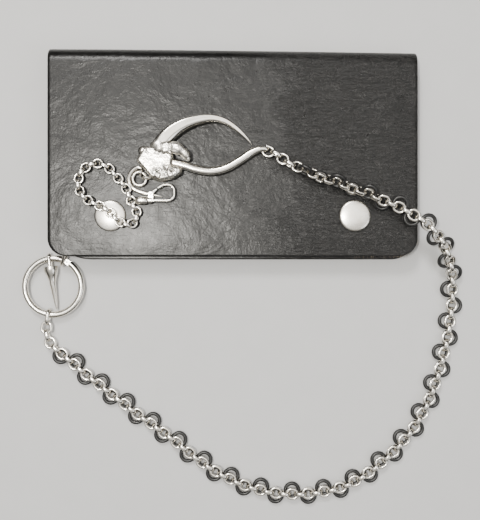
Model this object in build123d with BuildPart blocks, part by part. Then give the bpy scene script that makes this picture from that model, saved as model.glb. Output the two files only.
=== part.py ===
from build123d import *
import os
from math import cos, degrees, hypot, radians, sin

# A long leather chain wallet, closed, front cover up, with its chain laid round it.
# Origin: centre of the back panel's underside. +X along the wallet, +Y towards the fold, +Z up. Millimetres.

os.makedirs("parts", exist_ok=True)

# ---------------------------------------------------------------- driving dimensions
WALLET_LENGTH = 195.0
COVER_BOTTOM = -55.2        # free edge of the front cover
WALLET_TOP = 55.2           # outside of the fold
BACK_BOTTOM = -57.0         # the back panel shows a little below the cover
COVER_TOP = 16.0            # height of the closed wallet
LEATHER = 2.0               # outer leather
LINING = 0.8
COVER_CORNER = 9.5
BACK_CORNER = 11.0
BACK_RING_CORNER = 20.0     # rounder beside the ring, to clear the link that hangs there
FOLD_GAP = 0.3              # between the fold's wall and the two halves

SNAP_X = 64.3
SNAP_Y = -34.0
SNAP_DIAMETER = 16.6
SNAP_HEIGHT = 2.0
STUD_RADIUS = 1.9

RING_CENTRE = (-97.0, -71.6)
RING_Z = 4.1
RING_RADIUS = 15.25         # to the centre of the wire
RING_WIRE = 3.5
GATE_HINGE_ANGLE = 60.0
GATE_TIP_ANGLE = 161.0
GATE_PIN = 0.6              # pin radius
GATE_GAP = 0.12             # slit between the gate and the ring
ANCHOR_ANGLE = 67.3
BAIL_ANGLE = 97.0
RING_LINK_ANGLE = 260.7

LINK_LENGTH = 7.0           # one chain link, outside
LINK_WIDTH = 6.4
LINK_WALL = 1.05            # radial thickness
LINK_BAND = 1.55            # width along the link's own axis
LINK_PITCH = 4.3
LINK_HEIGHT = LINK_WIDTH / 2 + 0.1
CHAIN_ROLL = -45.0          # the chain leans over where it lies on the cover
ROLL_START = 366.0          # distance along the chain where it begins to lean
ROLL_LENGTH = 50.0
ROLL_END = 42.0             # it rolls on over this length before the hook
HOOK_ROLL = -45.0           # by this much more, so that the last link lies flat in the hook's eye
O_RING_RADIUS = 3.75        # to the centre of the rubber
O_RING_CORD = 1.4
O_RING_DROP = 1.55          # below the flat link's middle
O_RING_SHIFT = 1.7          # alternately left and right
FLAT_LINK_LIFT = 0.6

KEY_LINK_LENGTH = 6.1       # small chain
KEY_LINK_WIDTH = 5.5
KEY_LINK_WALL = 0.85
KEY_LINK_BAND = 1.6
KEY_LINK_COUNT = 27
CLIP_EYE_RADIUS = 2.2

ARM_Z = 19.3
ARM_RADIUS = 1.9


def write(builder, name):
    """Label a finished piece and write it to its own file."""
    builder.part.label = name
    export_step(builder.part, f"parts/{name}.step")


def sheet(x_low, x_high, y_low, y_high, z_low, thickness, corner=0.0, left_corner=None):
    """A flat panel whose two lower corners are rounded."""
    with BuildPart() as panel:
        with BuildSketch(Plane.XY.offset(z_low)) as outline:
            with Locations(((x_low + x_high) / 2, (y_low + y_high) / 2)):
                Rectangle(x_high - x_low, y_high - y_low)
            if corner:
                fillet(outline.vertices().group_by(Axis.Y)[0].sort_by(Axis.X)[-1], radius=corner)
                lower_left = outline.vertices().group_by(Axis.X)[0].sort_by(Axis.Y)[0]
                fillet(lower_left, radius=left_corner or corner)
        extrude(amount=thickness)
    return panel


def torus_at(plane, radius, wire):
    """A round ring of round wire in the given plane."""
    with BuildPart() as ring:
        with Locations(plane):
            Torus(radius, wire / 2)
    return ring


def oval_ring(length, width, wall, band):
    """An oval link centred on the origin, its long side along X, lying in XY."""
    bend = (width - wall) / 2
    half_straight = (length - width) / 2
    with BuildPart() as link:
        for side in (-1, 1):
            with BuildSketch(Plane.YZ.offset(side * half_straight)):
                with Locations((-side * bend, 0)):
                    Ellipse(wall / 2, band / 2)
            revolve(axis=Axis((side * half_straight, 0, 0), (0, 0, 1)), revolution_arc=180)
            with BuildSketch(Plane.YZ.offset(-half_straight)):
                with Locations((side * bend, 0)):
                    Ellipse(wall / 2, band / 2)
            extrude(amount=2 * half_straight)
    return link


def on_planes(piece, planes):
    """Copies of one piece, one on each plane, as separate solids."""
    with BuildPart() as group:
        with Locations(*planes):
            add(piece.part)
    return group


def tapered_bar(stations):
    """A smooth bar through (point, direction, half width, half height) stations."""
    with BuildPart() as bar:
        for point, direction, half_width, half_height in stations:
            with BuildSketch(Plane(origin=point, x_dir=(direction[1], -direction[0], 0), z_dir=direction)):
                Ellipse(half_width, half_height)
        loft()
    return bar


def stations_along(points, sizes):
    """Loft stations on a hand-laid line: each faces from its last neighbour to its next."""
    result = []
    for index, (point, size) in enumerate(zip(points, sizes)):
        before = points[max(index - 1, 0)]
        after = points[min(index + 1, len(points) - 1)]
        direction = Vector(*after) - Vector(*before)
        direction = Vector(direction.X, direction.Y, 0).normalized()
        result.append((point, (direction.X, direction.Y, 0), size[0], size[1]))
    return result


# ---------------------------------------------------------------- back half
HALF = WALLET_LENGTH / 2
PANEL_TOP = WALLET_TOP - 0.5
BACK_LINING_TOP = LEATHER + LINING
INNER_X = 86.0

write(sheet(-HALF, HALF, BACK_BOTTOM, PANEL_TOP, 0, LEATHER, BACK_CORNER, BACK_RING_CORNER), "back_panel")
write(
    sheet(
        -HALF + 2, HALF - 2, BACK_BOTTOM + 3, PANEL_TOP - 4, LEATHER, LINING, BACK_CORNER, BACK_RING_CORNER,
    ),
    "back_lining",
)


def gusset(side):
    """Folded bellows leather at one end, standing on the back lining."""
    x_in = side * 87.6
    x_out = side * 93.0
    rise = 1.7
    with BuildPart() as bellows:
        with BuildSketch(Plane.XZ.offset(-44)):
            with BuildLine():
                Polyline(
                    (x_in, BACK_LINING_TOP + 0.6),
                    (x_out, BACK_LINING_TOP + 0.6),
                    (x_in, BACK_LINING_TOP + 0.6 + rise),
                    (x_out, BACK_LINING_TOP + 0.6 + 2 * rise),
                    (x_in, BACK_LINING_TOP + 0.6 + 3 * rise),
                )
            trace(line_width=0.7)
        extrude(amount=78)
    return bellows


write(gusset(-1), "gusset_left")
write(gusset(1), "gusset_right")
write(sheet(-INNER_X, INNER_X, -50, 44, 3.2, 0.8, 3), "bill_divider")
write(sheet(-INNER_X, INNER_X, -52, 30, 4.4, 1.0, 3), "card_base")

SLOT_THICKNESS = 0.8
for slot in range(3):
    write(
        sheet(-80, -4, -52, 20 - 11 * slot, 5.4 + slot * SLOT_THICKNESS, SLOT_THICKNESS, 3),
        f"card_slot_{slot + 1}",
    )

# ---------------------------------------------------------------- coin pouch and its zipper
POUCH_X = (2.0, 82.0)
POUCH_Y = (-52.0, 22.0)
POUCH_Z = (5.4, 8.4)
POUCH_WALL = 0.8
ZIP_Y = 12.0
ZIP_X = (8.0, 76.0)
ZIP_OPENING = 6.0
TAPE_Z = POUCH_Z[1]
TAPE_THICKNESS = 0.4
TEETH_HEIGHT = 0.9
TOOTH_PITCH = 2.0
SLIDER_X = 12.0

with BuildPart() as coin_pouch:
    with BuildSketch(Plane.XY.offset(POUCH_Z[0])):
        with Locations((sum(POUCH_X) / 2, sum(POUCH_Y) / 2)):
            Rectangle(POUCH_X[1] - POUCH_X[0], POUCH_Y[1] - POUCH_Y[0])
    extrude(amount=POUCH_Z[1] - POUCH_Z[0])
    with BuildSketch(Plane.XY.offset(POUCH_Z[0] + POUCH_WALL)):
        with Locations((sum(POUCH_X) / 2, sum(POUCH_Y) / 2)):
            Rectangle(POUCH_X[1] - POUCH_X[0] - 5, POUCH_Y[1] - POUCH_Y[0] - 5)
    extrude(amount=POUCH_Z[1] - POUCH_Z[0] - 2 * POUCH_WALL, mode=Mode.SUBTRACT)
    with BuildSketch(Plane.XY.offset(POUCH_Z[1])):
        with Locations((sum(ZIP_X) / 2, ZIP_Y)):
            Rectangle(ZIP_X[1] - ZIP_X[0], ZIP_OPENING)
    extrude(amount=-POUCH_WALL, mode=Mode.SUBTRACT)
write(coin_pouch, "coin_pouch")

with BuildPart() as zipper_tape:
    with BuildSketch(Plane.XY.offset(TAPE_Z)):
        for side in (-1, 1):
            with Locations((sum(ZIP_X) / 2, ZIP_Y + side * 3.2)):
                Rectangle(ZIP_X[1] - ZIP_X[0] + 4, 5.6)
    extrude(amount=TAPE_THICKNESS)
write(zipper_tape, "zipper_tape")

tooth_count = int((ZIP_X[1] - ZIP_X[0] - 6) / TOOTH_PITCH)
with BuildPart() as zipper_teeth:
    with BuildSketch(Plane.XY.offset(TAPE_Z + TAPE_THICKNESS)):
        for side in (-1, 1):
            first_x = ZIP_X[0] + 4 + (TOOTH_PITCH / 2 if side > 0 else 0)
            row_y = ZIP_Y + side * 0.6
            with Locations(*[(first_x + TOOTH_PITCH * tooth, row_y) for tooth in range(tooth_count)]):
                Rectangle(0.9, 2.2)
    extrude(amount=TEETH_HEIGHT)
write(zipper_teeth, "zipper_teeth")

with BuildPart() as zipper_stops:
    with BuildSketch(Plane.XY.offset(TAPE_Z + TAPE_THICKNESS)):
        with Locations((ZIP_X[0] + 0.9, ZIP_Y), (ZIP_X[1] - 0.1, ZIP_Y)):
            Rectangle(1.6, 4.6)
    extrude(amount=1.0)
write(zipper_stops, "zipper_stops")

SLIDER_LOW = TAPE_Z + TAPE_THICKNESS + 0.1
TEETH_TOP = TAPE_Z + TAPE_THICKNESS + TEETH_HEIGHT
SLIDER_TOP = TEETH_TOP + 0.9
PULL_POST = 0.8

with BuildPart() as zipper_slider:
    with BuildSketch(Plane.XY.offset(SLIDER_LOW)) as slider_plan:
        with Locations((SLIDER_X + 1, ZIP_Y)):
            Rectangle(6.4, 6.6)
        fillet(slider_plan.vertices(), radius=1.4)
    extrude(amount=SLIDER_TOP - SLIDER_LOW)
    with BuildSketch(Plane.XY.offset(SLIDER_LOW)):
        with Locations((SLIDER_X + 1, ZIP_Y)):
            Rectangle(8, 3.9)
    extrude(amount=TEETH_TOP + 0.15 - SLIDER_LOW, mode=Mode.SUBTRACT)
    with BuildSketch(Plane.XY.offset(SLIDER_TOP)):
        with Locations((SLIDER_X, ZIP_Y)):
            Circle(PULL_POST)
    extrude(amount=1.2)
    with BuildSketch(Plane.XY.offset(SLIDER_TOP + 1.2)):
        with Locations((SLIDER_X, ZIP_Y)):
            Circle(PULL_POST + 0.7)
    extrude(amount=0.4)
write(zipper_slider, "zipper_slider")

with BuildPart() as zipper_pull:
    with BuildSketch(Plane.XY.offset(SLIDER_TOP + 0.1)) as pull_plan:
        with Locations((SLIDER_X + 6.5, ZIP_Y)):
            SlotOverall(17, 4.4)
        with Locations((SLIDER_X, ZIP_Y)):
            Circle(PULL_POST + 0.06, mode=Mode.SUBTRACT)
        with Locations((SLIDER_X + 9.5, ZIP_Y)):
            SlotOverall(6, 1.8, mode=Mode.SUBTRACT)
    extrude(amount=1.0)
write(zipper_pull, "zipper_pull")

# ---------------------------------------------------------------- inner flap and snap studs
FLAP_Z = 9.0
FLAP_THICKNESS = 1.2
FLAP_TOP = FLAP_Z + FLAP_THICKNESS
STUD_PLACES = [(-SNAP_X, SNAP_Y), (SNAP_X, SNAP_Y)]
SOCKET_Z = 11.4
COVER_LINING_LOW = COVER_TOP - LEATHER - LINING

with BuildPart() as inner_flap:
    with BuildSketch(Plane.XY.offset(FLAP_Z)) as flap_plan:
        with Locations((0, -36)):
            Rectangle(144, 32)
        fillet(flap_plan.vertices(), radius=4)
        with Locations(*STUD_PLACES):
            Circle(1.5, mode=Mode.SUBTRACT)
    extrude(amount=FLAP_THICKNESS)
write(inner_flap, "inner_flap")

with BuildPart() as snap_studs:
    with BuildSketch(Plane.XY.offset(FLAP_TOP)):
        with Locations(*STUD_PLACES):
            Circle(5)
    extrude(amount=0.7)
    with BuildSketch(Plane.XY.offset(FLAP_TOP)):
        with Locations(*STUD_PLACES):
            Circle(STUD_RADIUS)
    extrude(amount=2.4)
    fillet(snap_studs.edges().group_by(Axis.Z)[-1], radius=0.5)
write(snap_studs, "snap_studs")

with BuildPart() as stud_rivets:
    with BuildSketch(Plane.XY.offset(FLAP_Z - 0.5)):
        with Locations(*STUD_PLACES):
            Circle(4)
    extrude(amount=0.5)
    with BuildSketch(Plane.XY.offset(FLAP_Z)):
        with Locations(*STUD_PLACES):
            Circle(1.5)
    extrude(amount=FLAP_THICKNESS)
write(stud_rivets, "stud_rivets")

# ---------------------------------------------------------------- fold and front half
with BuildPart() as spine:
    with BuildSketch(Plane.XY.offset(LEATHER + FOLD_GAP)):
        with Locations((0, WALLET_TOP - LEATHER / 2)):
            Rectangle(WALLET_LENGTH, LEATHER)
    extrude(amount=COVER_TOP - 2 * LEATHER - 2 * FOLD_GAP)
write(spine, "spine")

write(
    sheet(-HALF, HALF, COVER_BOTTOM, PANEL_TOP, COVER_TOP - LEATHER, LEATHER, COVER_CORNER),
    "front_cover",
)
with BuildPart() as cover_lining:
    with BuildSketch(Plane.XY.offset(COVER_LINING_LOW)) as lining_plan:
        with Locations((0, (COVER_BOTTOM + PANEL_TOP) / 2)):
            Rectangle(WALLET_LENGTH - 5, PANEL_TOP - COVER_BOTTOM - 6)
        fillet(lining_plan.vertices().group_by(Axis.Y)[0], radius=COVER_CORNER)
        with Locations(*STUD_PLACES):
            Circle(6, mode=Mode.SUBTRACT)
    extrude(amount=LINING)
write(cover_lining, "cover_lining")

with BuildPart() as snap_caps:
    with BuildSketch(Plane.XY.offset(COVER_TOP)):
        with Locations(*STUD_PLACES):
            Circle(SNAP_DIAMETER / 2)
    extrude(amount=SNAP_HEIGHT)
    fillet(snap_caps.edges().group_by(Axis.Z)[-1], radius=1.5)
write(snap_caps, "snap_caps")

with BuildPart() as snap_sockets:
    with BuildSketch(Plane.XY.offset(SOCKET_Z)):
        with Locations(*STUD_PLACES):
            Circle(4.6)
            Circle(STUD_RADIUS + 0.15, mode=Mode.SUBTRACT)
    extrude(amount=COVER_TOP - LEATHER - SOCKET_Z)
write(snap_sockets, "snap_sockets")

# ---------------------------------------------------------------- chain tab under the lower left corner
GROMMET = (-86.5, -46.5)
GROMMET_HOLE = 2.3
TAB_Z = 8.6
TAB_THICKNESS = 1.4

with BuildPart() as chain_tab:
    with BuildSketch(Plane.XY.offset(TAB_Z)) as tab_plan:
        with Locations((-83.2, -43.4)):
            Rectangle(14.6, 14.2)
        fillet(tab_plan.vertices().group_by(Axis.X)[0], radius=4)
        with Locations(GROMMET):
            Circle(GROMMET_HOLE + 0.7, mode=Mode.SUBTRACT)
    extrude(amount=TAB_THICKNESS)
    with BuildSketch(Plane.XY.offset(TAB_Z + TAB_THICKNESS)):
        with Locations((-79, -40.2)):
            Rectangle(6.2, 7.8)
    extrude(amount=COVER_LINING_LOW - TAB_Z - TAB_THICKNESS)
    with BuildSketch(Plane.XY.offset(TAB_Z)):
        with Locations((-79, -40.2)):
            Circle(1.2)
    extrude(amount=COVER_LINING_LOW - TAB_Z, mode=Mode.SUBTRACT)
write(chain_tab, "chain_tab")

with BuildPart() as tab_grommet:
    with BuildSketch(Plane.XY.offset(TAB_Z - 0.4)):
        with Locations(GROMMET):
            Circle(GROMMET_HOLE + 1.6)
    extrude(amount=0.4)
    with BuildSketch(Plane.XY.offset(TAB_Z + TAB_THICKNESS)):
        with Locations(GROMMET):
            Circle(GROMMET_HOLE + 1.6)
    extrude(amount=0.4)
    with BuildSketch(Plane.XY.offset(TAB_Z)):
        with Locations(GROMMET):
            Circle(GROMMET_HOLE + 0.7)
    extrude(amount=TAB_THICKNESS)
    with BuildSketch(Plane.XY.offset(TAB_Z - 0.4)):
        with Locations(GROMMET):
            Circle(GROMMET_HOLE)
    extrude(amount=TAB_THICKNESS + 0.8, mode=Mode.SUBTRACT)
write(tab_grommet, "tab_grommet")

with BuildPart() as tab_rivet:
    with BuildSketch(Plane.XY.offset(TAB_Z)):
        with Locations((-79, -40.2)):
            Circle(1.2)
    extrude(amount=COVER_LINING_LOW - TAB_Z)
    with BuildSketch(Plane.XY.offset(TAB_Z - 0.6)):
        with Locations((-79, -40.2)):
            Circle(2.4)
    extrude(amount=0.6)
write(tab_rivet, "tab_rivet")


# ---------------------------------------------------------------- spring-gate ring
def ring_point(angle, radius=RING_RADIUS, height=RING_Z):
    """A point on or inside the big ring, by its angle."""
    return (
        RING_CENTRE[0] + radius * cos(radians(angle)),
        RING_CENTRE[1] + radius * sin(radians(angle)),
        height,
    )


def radial_plane(angle, radius=RING_RADIUS, height=RING_Z, inward=True):
    """Upright plane through the ring's wire: x towards the ring's centre, y up."""
    sign = -1 if inward else 1
    outward = Vector(cos(radians(angle)), sin(radians(angle)), 0)
    return Plane(
        origin=ring_point(angle, radius, height),
        x_dir=tuple(outward * sign),
        z_dir=tuple(outward.cross(Vector(0, 0, 1)) * sign),
    )


def ring_arc(start_angle, end_angle):
    """A stretch of the ring's round wire."""
    with BuildPart() as arc:
        with BuildSketch(radial_plane(start_angle, inward=False)):
            Circle(RING_WIRE / 2)
        revolve(
            axis=Axis((RING_CENTRE[0], RING_CENTRE[1], 0), (0, 0, 1)),
            revolution_arc=end_angle - start_angle,
        )
    return arc


def oblong_on(plane, length, width, wall, band):
    """An oval link with its long side along the plane's x."""
    return on_planes(oval_ring(length, width, wall, band), [plane])


HINGE_LOBE = 1.3            # radius of the hinge's knuckles
HINGE_REACH = 1.5           # from the pin to where the full wire begins
TONGUE = 0.55               # half thickness of the gate's tongue
FORK_GAP = 0.1
HINGE_POINT = ring_point(GATE_HINGE_ANGLE)
hinge_reach_angle = degrees(HINGE_REACH / RING_RADIUS)
tip_point = Vector(*ring_point(GATE_TIP_ANGLE))
chord = (tip_point - Vector(*HINGE_POINT)).normalized()
SEAM_BOX = 8.0


def seam_plane(side):
    """Middle of a block that trims the wire on one side of the gate's seam."""
    seam_middle = tip_point + chord * side * (SEAM_BOX / 2 - GATE_GAP / 2)
    return Plane(origin=seam_middle, x_dir=chord, z_dir=(0, 0, 1))


def knuckle_plan(toward):
    """Plane along the wire at the hinge, x pointing from the pin into the wire."""
    tangent = Vector(-sin(radians(GATE_HINGE_ANGLE)), cos(radians(GATE_HINGE_ANGLE)), 0)
    return Plane(origin=HINGE_POINT, x_dir=tangent * toward, z_dir=(0, 0, 1))


ring_steel = ring_arc(GATE_TIP_ANGLE - 10, GATE_HINGE_ANGLE + 360 - hinge_reach_angle)
gate_steel = ring_arc(GATE_HINGE_ANGLE + hinge_reach_angle, GATE_TIP_ANGLE + 10)

with BuildPart() as ring_body:
    add(ring_steel.part)
    with Locations(seam_plane(-1)):
        Box(SEAM_BOX, SEAM_BOX, SEAM_BOX, mode=Mode.SUBTRACT)
    for side in (-1, 1):
        with BuildSketch(knuckle_plan(-1).offset(side * (TONGUE + FORK_GAP))):
            Circle(HINGE_LOBE)
            with Locations((HINGE_REACH / 2 + 0.2, 0)):
                Rectangle(HINGE_REACH + 0.4, 2 * HINGE_LOBE)
            Circle(GATE_PIN, mode=Mode.SUBTRACT)
        extrude(amount=side * 0.65)
    with BuildSketch(Plane(origin=ring_point(GATE_HINGE_ANGLE - hinge_reach_angle), z_dir=knuckle_plan(-1).x_dir)):
        Circle(0.65)
    extrude(amount=2.6, mode=Mode.SUBTRACT)
write(ring_body, "ring_body")

with BuildPart() as ring_gate:
    add(gate_steel.part)
    with Locations(seam_plane(1)):
        Box(SEAM_BOX, SEAM_BOX, SEAM_BOX, mode=Mode.SUBTRACT)
    with BuildSketch(knuckle_plan(1).offset(-TONGUE)):
        Circle(HINGE_LOBE)
        with Locations((HINGE_REACH / 2 + 0.2, 0)):
            Rectangle(HINGE_REACH + 0.4, 2 * HINGE_LOBE)
        Circle(GATE_PIN + 0.05, mode=Mode.SUBTRACT)
    extrude(amount=2 * TONGUE)
write(ring_gate, "ring_gate")

with BuildPart() as gate_pin:
    with BuildSketch(Plane(origin=HINGE_POINT).offset(-1.5)):
        Circle(GATE_PIN)
    extrude(amount=3.0)
    fillet(gate_pin.edges(), radius=0.2)
write(gate_pin, "gate_pin")

with BuildPart() as gate_spring:
    with BuildSketch(Plane(origin=ring_point(GATE_HINGE_ANGLE - hinge_reach_angle), z_dir=knuckle_plan(-1).x_dir)):
        Circle(0.55)
        Circle(0.3, mode=Mode.SUBTRACT)
    extrude(amount=2.5)
write(gate_spring, "gate_spring")

# ---------------------------------------------------------------- anchor link, from the grommet round the ring
ANCHOR_WIRE = 1.4
ANCHOR_BEND = 3.0
grommet_edge = Vector(GROMMET[0], GROMMET[1], 9.1)
to_ring = Vector(RING_CENTRE[0] - GROMMET[0], RING_CENTRE[1] - GROMMET[1], 0).normalized()
anchor_top = grommet_edge + to_ring * 3.4
anchor_low = Vector(*ring_point(ANCHOR_ANGLE))
anchor_axis = (anchor_low - anchor_top).normalized()
anchor_plane = Plane(
    origin=(anchor_top + anchor_low) * 0.5,
    x_dir=anchor_axis,
    z_dir=anchor_axis.cross(Vector(0, 0, 1)).normalized(),
)
anchor_length = (anchor_low - anchor_top).length + 2 * ANCHOR_BEND + ANCHOR_WIRE
anchor_link = oblong_on(anchor_plane, anchor_length, 2 * ANCHOR_BEND + ANCHOR_WIRE, ANCHOR_WIRE, ANCHOR_WIRE)
write(anchor_link, "anchor_link")

# ---------------------------------------------------------------- claw charm on the ring
BAIL_REACH = 3.6            # length of the bail's straight sides
BAIL_WIRE = 1.2
BELL_RIM = 3.85
bail_plane = radial_plane(BAIL_ANGLE, RING_RADIUS - BAIL_REACH / 2)
charm_bail = oblong_on(bail_plane, 6.3 + BAIL_REACH, 6.3, BAIL_WIRE, 1.6)
write(charm_bail, "charm_bail")

charm_plane = radial_plane(BAIL_ANGLE)
with BuildPart() as charm_bell:
    with BuildSketch(charm_plane):
        with BuildLine():
            Polyline((4.4, 3.3), (4.4, BELL_RIM), (5.3, BELL_RIM))
            Spline((5.3, BELL_RIM), (8.4, 3.2), (11.0, 2.2), (12.6, 1.9))
            Polyline((12.6, 1.9), (12.6, 0), (8.0, 0), (8.0, 2.0), (6.4, 3.3), (4.4, 3.3))
        make_face()
    revolve(axis=Axis(charm_plane.origin, charm_plane.x_dir), revolution_arc=360)
    with BuildSketch(Plane(origin=charm_plane.from_local_coords((4.95, 0, -3.5)), z_dir=charm_plane.z_dir)):
        Circle(0.45)
    extrude(amount=7.0)
write(charm_bell, "charm_bell")

charm_points = [
    (-97.45, -68.9, 4.1), (-96.9, -72.5, 3.9), (-96.3, -76.5, 3.6), (-95.7, -80.5, 3.3), (-95.2, -84.0, 3.1),
]
charm_sizes = [(1.75, 1.75), (1.55, 1.5), (1.25, 1.2), (0.9, 0.9), (0.3, 0.3)]
charm_claw = tapered_bar(stations_along(charm_points, charm_sizes))
write(charm_claw, "charm_claw")

# ---------------------------------------------------------------- main chain
RING_LINK = (9.4, 7.0, 1.3, 1.9)
RING_LINK_OFFSET = 1.4
CHAIN_START_RADIUS = 22.4
ring_link = oblong_on(
    radial_plane(RING_LINK_ANGLE, RING_RADIUS + RING_LINK_OFFSET, inward=False), *RING_LINK
)
write(ring_link, "ring_link")

HOOK_EYE = (15.9, 0.6, ARM_Z)
EYE_TO_LINK = LINK_LENGTH / 2 - LINK_WALL / 2
LAST_LINK_X = HOOK_EYE[0] + EYE_TO_LINK * 0.9
LAST_LINK_Y = HOOK_EYE[1] - EYE_TO_LINK * 0.44
ON_COVER = 21.8
chain_points = [
    ring_point(RING_LINK_ANGLE, CHAIN_START_RADIUS, LINK_HEIGHT),
    ring_point(RING_LINK_ANGLE + 2.0, CHAIN_START_RADIUS + 3.9, LINK_HEIGHT),
    (-98.2, -102.5, LINK_HEIGHT), (-93.2, -107.2, LINK_HEIGHT), (-82.0, -116.7, LINK_HEIGHT),
    (-67.0, -128.5, LINK_HEIGHT), (-50.0, -141.5, LINK_HEIGHT), (-33.0, -153.7, LINK_HEIGHT),
    (-19.8, -164.2, LINK_HEIGHT), (-5.0, -173.8, LINK_HEIGHT), (10.3, -180.2, LINK_HEIGHT),
    (26.0, -183.4, LINK_HEIGHT), (42.7, -183.2, LINK_HEIGHT), (59.0, -179.8, LINK_HEIGHT),
    (73.2, -172.2, LINK_HEIGHT), (85.7, -161.8, LINK_HEIGHT), (96.5, -149.5, LINK_HEIGHT),
    (105.0, -135.0, LINK_HEIGHT), (111.0, -119.0, LINK_HEIGHT), (115.0, -103.5, LINK_HEIGHT),
    (117.6, -88.0, LINK_HEIGHT), (118.4, -76.0, LINK_HEIGHT + 0.4), (117.8, -66.5, 5.6),
    (115.5, -57.5, 10.0), (111.4, -49.9, 15.0), (106.0, -43.2, 19.4), (99.5, -37.6, ON_COVER),
    (92.7, -33.2, ON_COVER), (85.5, -29.4, ON_COVER), (69.9, -22.7, ON_COVER), (53.8, -16.8, ON_COVER),
    (36.7, -10.4, 21.4), (28.0, -5.8, 20.4), (LAST_LINK_X + 4.0, LAST_LINK_Y - 1.9, 19.6),
    (LAST_LINK_X, LAST_LINK_Y, ARM_Z),
]
with BuildLine() as chain_route:
    Spline(*chain_points)
chain_path = chain_route.edges()[0]
CHAIN_COUNT = 2 * round(chain_path.length / LINK_PITCH / 2)
chain_step = chain_path.length / (CHAIN_COUNT - 1)


def eased(value):
    """0 to 1 with a soft start and stop."""
    value = min(max(value, 0.0), 1.0)
    return value * value * (3 - 2 * value)


def chain_frame(index):
    """Middle, direction, sideways and upward vectors of one link."""
    distance = chain_step * index
    place = chain_path.position_at(distance, position_mode=PositionMode.LENGTH)
    along = chain_path.tangent_at(distance, position_mode=PositionMode.LENGTH)
    side = Vector(0, 0, 1).cross(along).normalized()
    up = along.cross(side)
    lean = eased((distance - ROLL_START) / ROLL_LENGTH)
    lay = eased((distance - chain_path.length + ROLL_END) / ROLL_END)
    roll = radians(CHAIN_ROLL * lean + HOOK_ROLL * lay)
    return place, along, side * cos(roll) + up * sin(roll), up * cos(roll) - side * sin(roll)


def shifted_side(index):
    """Rubber rings are pushed to alternate sides of the chain."""
    return 1 if (index // 2) % 2 else -1


def stacked(index):
    """1 where the rubber ring lies under its flat link, -1 over it, as every other one on the cover."""
    on_cover = chain_step * index > ROLL_START + ROLL_LENGTH / 2
    return -1 if on_cover and shifted_side(index) < 0 else 1


def link_plane(index):
    """Even links lie flat, odd links stand on edge."""
    place, along, side, up = chain_frame(index)
    if index % 2 == 0:
        return Plane(origin=place + up * FLAT_LINK_LIFT * stacked(index), x_dir=along, z_dir=up)
    return Plane(origin=place, x_dir=along, z_dir=side)


def o_ring_plane(index):
    """The rubber ring stacked on a flat link."""
    place, along, side, up = chain_frame(index)
    drop = (FLAT_LINK_LIFT - O_RING_DROP) * stacked(index)
    return Plane(origin=place + up * drop + side * O_RING_SHIFT * shifted_side(index), x_dir=along, z_dir=up)


def nearest_link(x, y):
    """Index of the flat link nearest to a place on the route."""
    reach = [hypot(chain_frame(i)[0].X - x, chain_frame(i)[0].Y - y) for i in range(0, CHAIN_COUNT, 2)]
    return 2 * reach.index(min(reach))


chain_link = oval_ring(LINK_LENGTH, LINK_WIDTH, LINK_WALL, LINK_BAND)
rubber_ring = torus_at(Plane.XY, O_RING_RADIUS, O_RING_CORD)
FIRST_RUBBER = 4            # the links beside the ring have none
AFTER_RUBBER = CHAIN_COUNT - 4
breaks = [
    0,
    nearest_link(-33.0, -153.7),
    nearest_link(25.5, -183.4),
    nearest_link(115.4, -101.5),
    nearest_link(92.7, -33.2),
    CHAIN_COUNT,
]
for section in range(5):
    indices = range(breaks[section], breaks[section + 1])
    links = on_planes(chain_link, [link_plane(i) for i in indices])
    write(links, f"chain_links_{section + 1}")
    rubbered = [i for i in indices if i % 2 == 0 and FIRST_RUBBER <= i < AFTER_RUBBER]
    rubbers = on_planes(rubber_ring, [o_ring_plane(i) for i in rubbered])
    write(rubbers, f"rubber_rings_{section + 1}")


# ---------------------------------------------------------------- belt hook
claw_points = [
    (-39.5, -2.5, 20.2), (-36.4, 4.2, 20.2), (-31.2, 9.6, 20.1), (-24.9, 13.4, 20.0), (-18.5, 15.6, 19.8),
    (-11.2, 16.6, 19.6), (-4.4, 15.2, 19.3), (1.3, 11.8, 19.0), (6.0, 7.7, 18.7), (9.7, 3.8, 18.4),
]
claw_sizes = [
    (4.5, 3.4), (4.4, 3.4), (4.05, 3.2), (3.4, 2.9), (2.75, 2.5), (2.15, 2.1), (1.75, 1.8), (1.4, 1.45),
    (0.95, 1.0), (0.3, 0.3),
]
hook_claw = tapered_bar(stations_along(claw_points, claw_sizes))
write(hook_claw, "hook_claw")

arm_points = [
    (-35.5, -6.5, ARM_Z), (-30.5, -6.8, ARM_Z), (-25.3, -8.0, ARM_Z), (-18.0, -10.2, ARM_Z), (-10.7, -11.0, ARM_Z),
    (-3.4, -9.4, ARM_Z), (3.9, -5.3, ARM_Z), (9.2, -1.7, ARM_Z), (13.4, 0.2, ARM_Z),
]
arm_sizes = [(ARM_RADIUS, ARM_RADIUS)] * 6 + [(1.8, 1.85), (1.6, 1.8), (1.35, 1.75)]
arm_bar = tapered_bar(stations_along(arm_points, arm_sizes))
EYE_RADIUS = 2.6
EYE_HOLE = 1.2
EYE_THICKNESS = 2.2
eye_plane = Plane(origin=HOOK_EYE, x_dir=(0.9, -0.44, 0), z_dir=(0.44, 0.9, 0))
with BuildPart() as hook_arm:
    add(arm_bar.part)
    with BuildSketch(eye_plane.offset(-EYE_THICKNESS / 2)):
        Circle(EYE_RADIUS)
    extrude(amount=EYE_THICKNESS)
    with BuildSketch(eye_plane.offset(-4)):
        Circle(EYE_HOLE)
    extrude(amount=8, mode=Mode.SUBTRACT)
write(hook_arm, "hook_arm")

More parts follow.
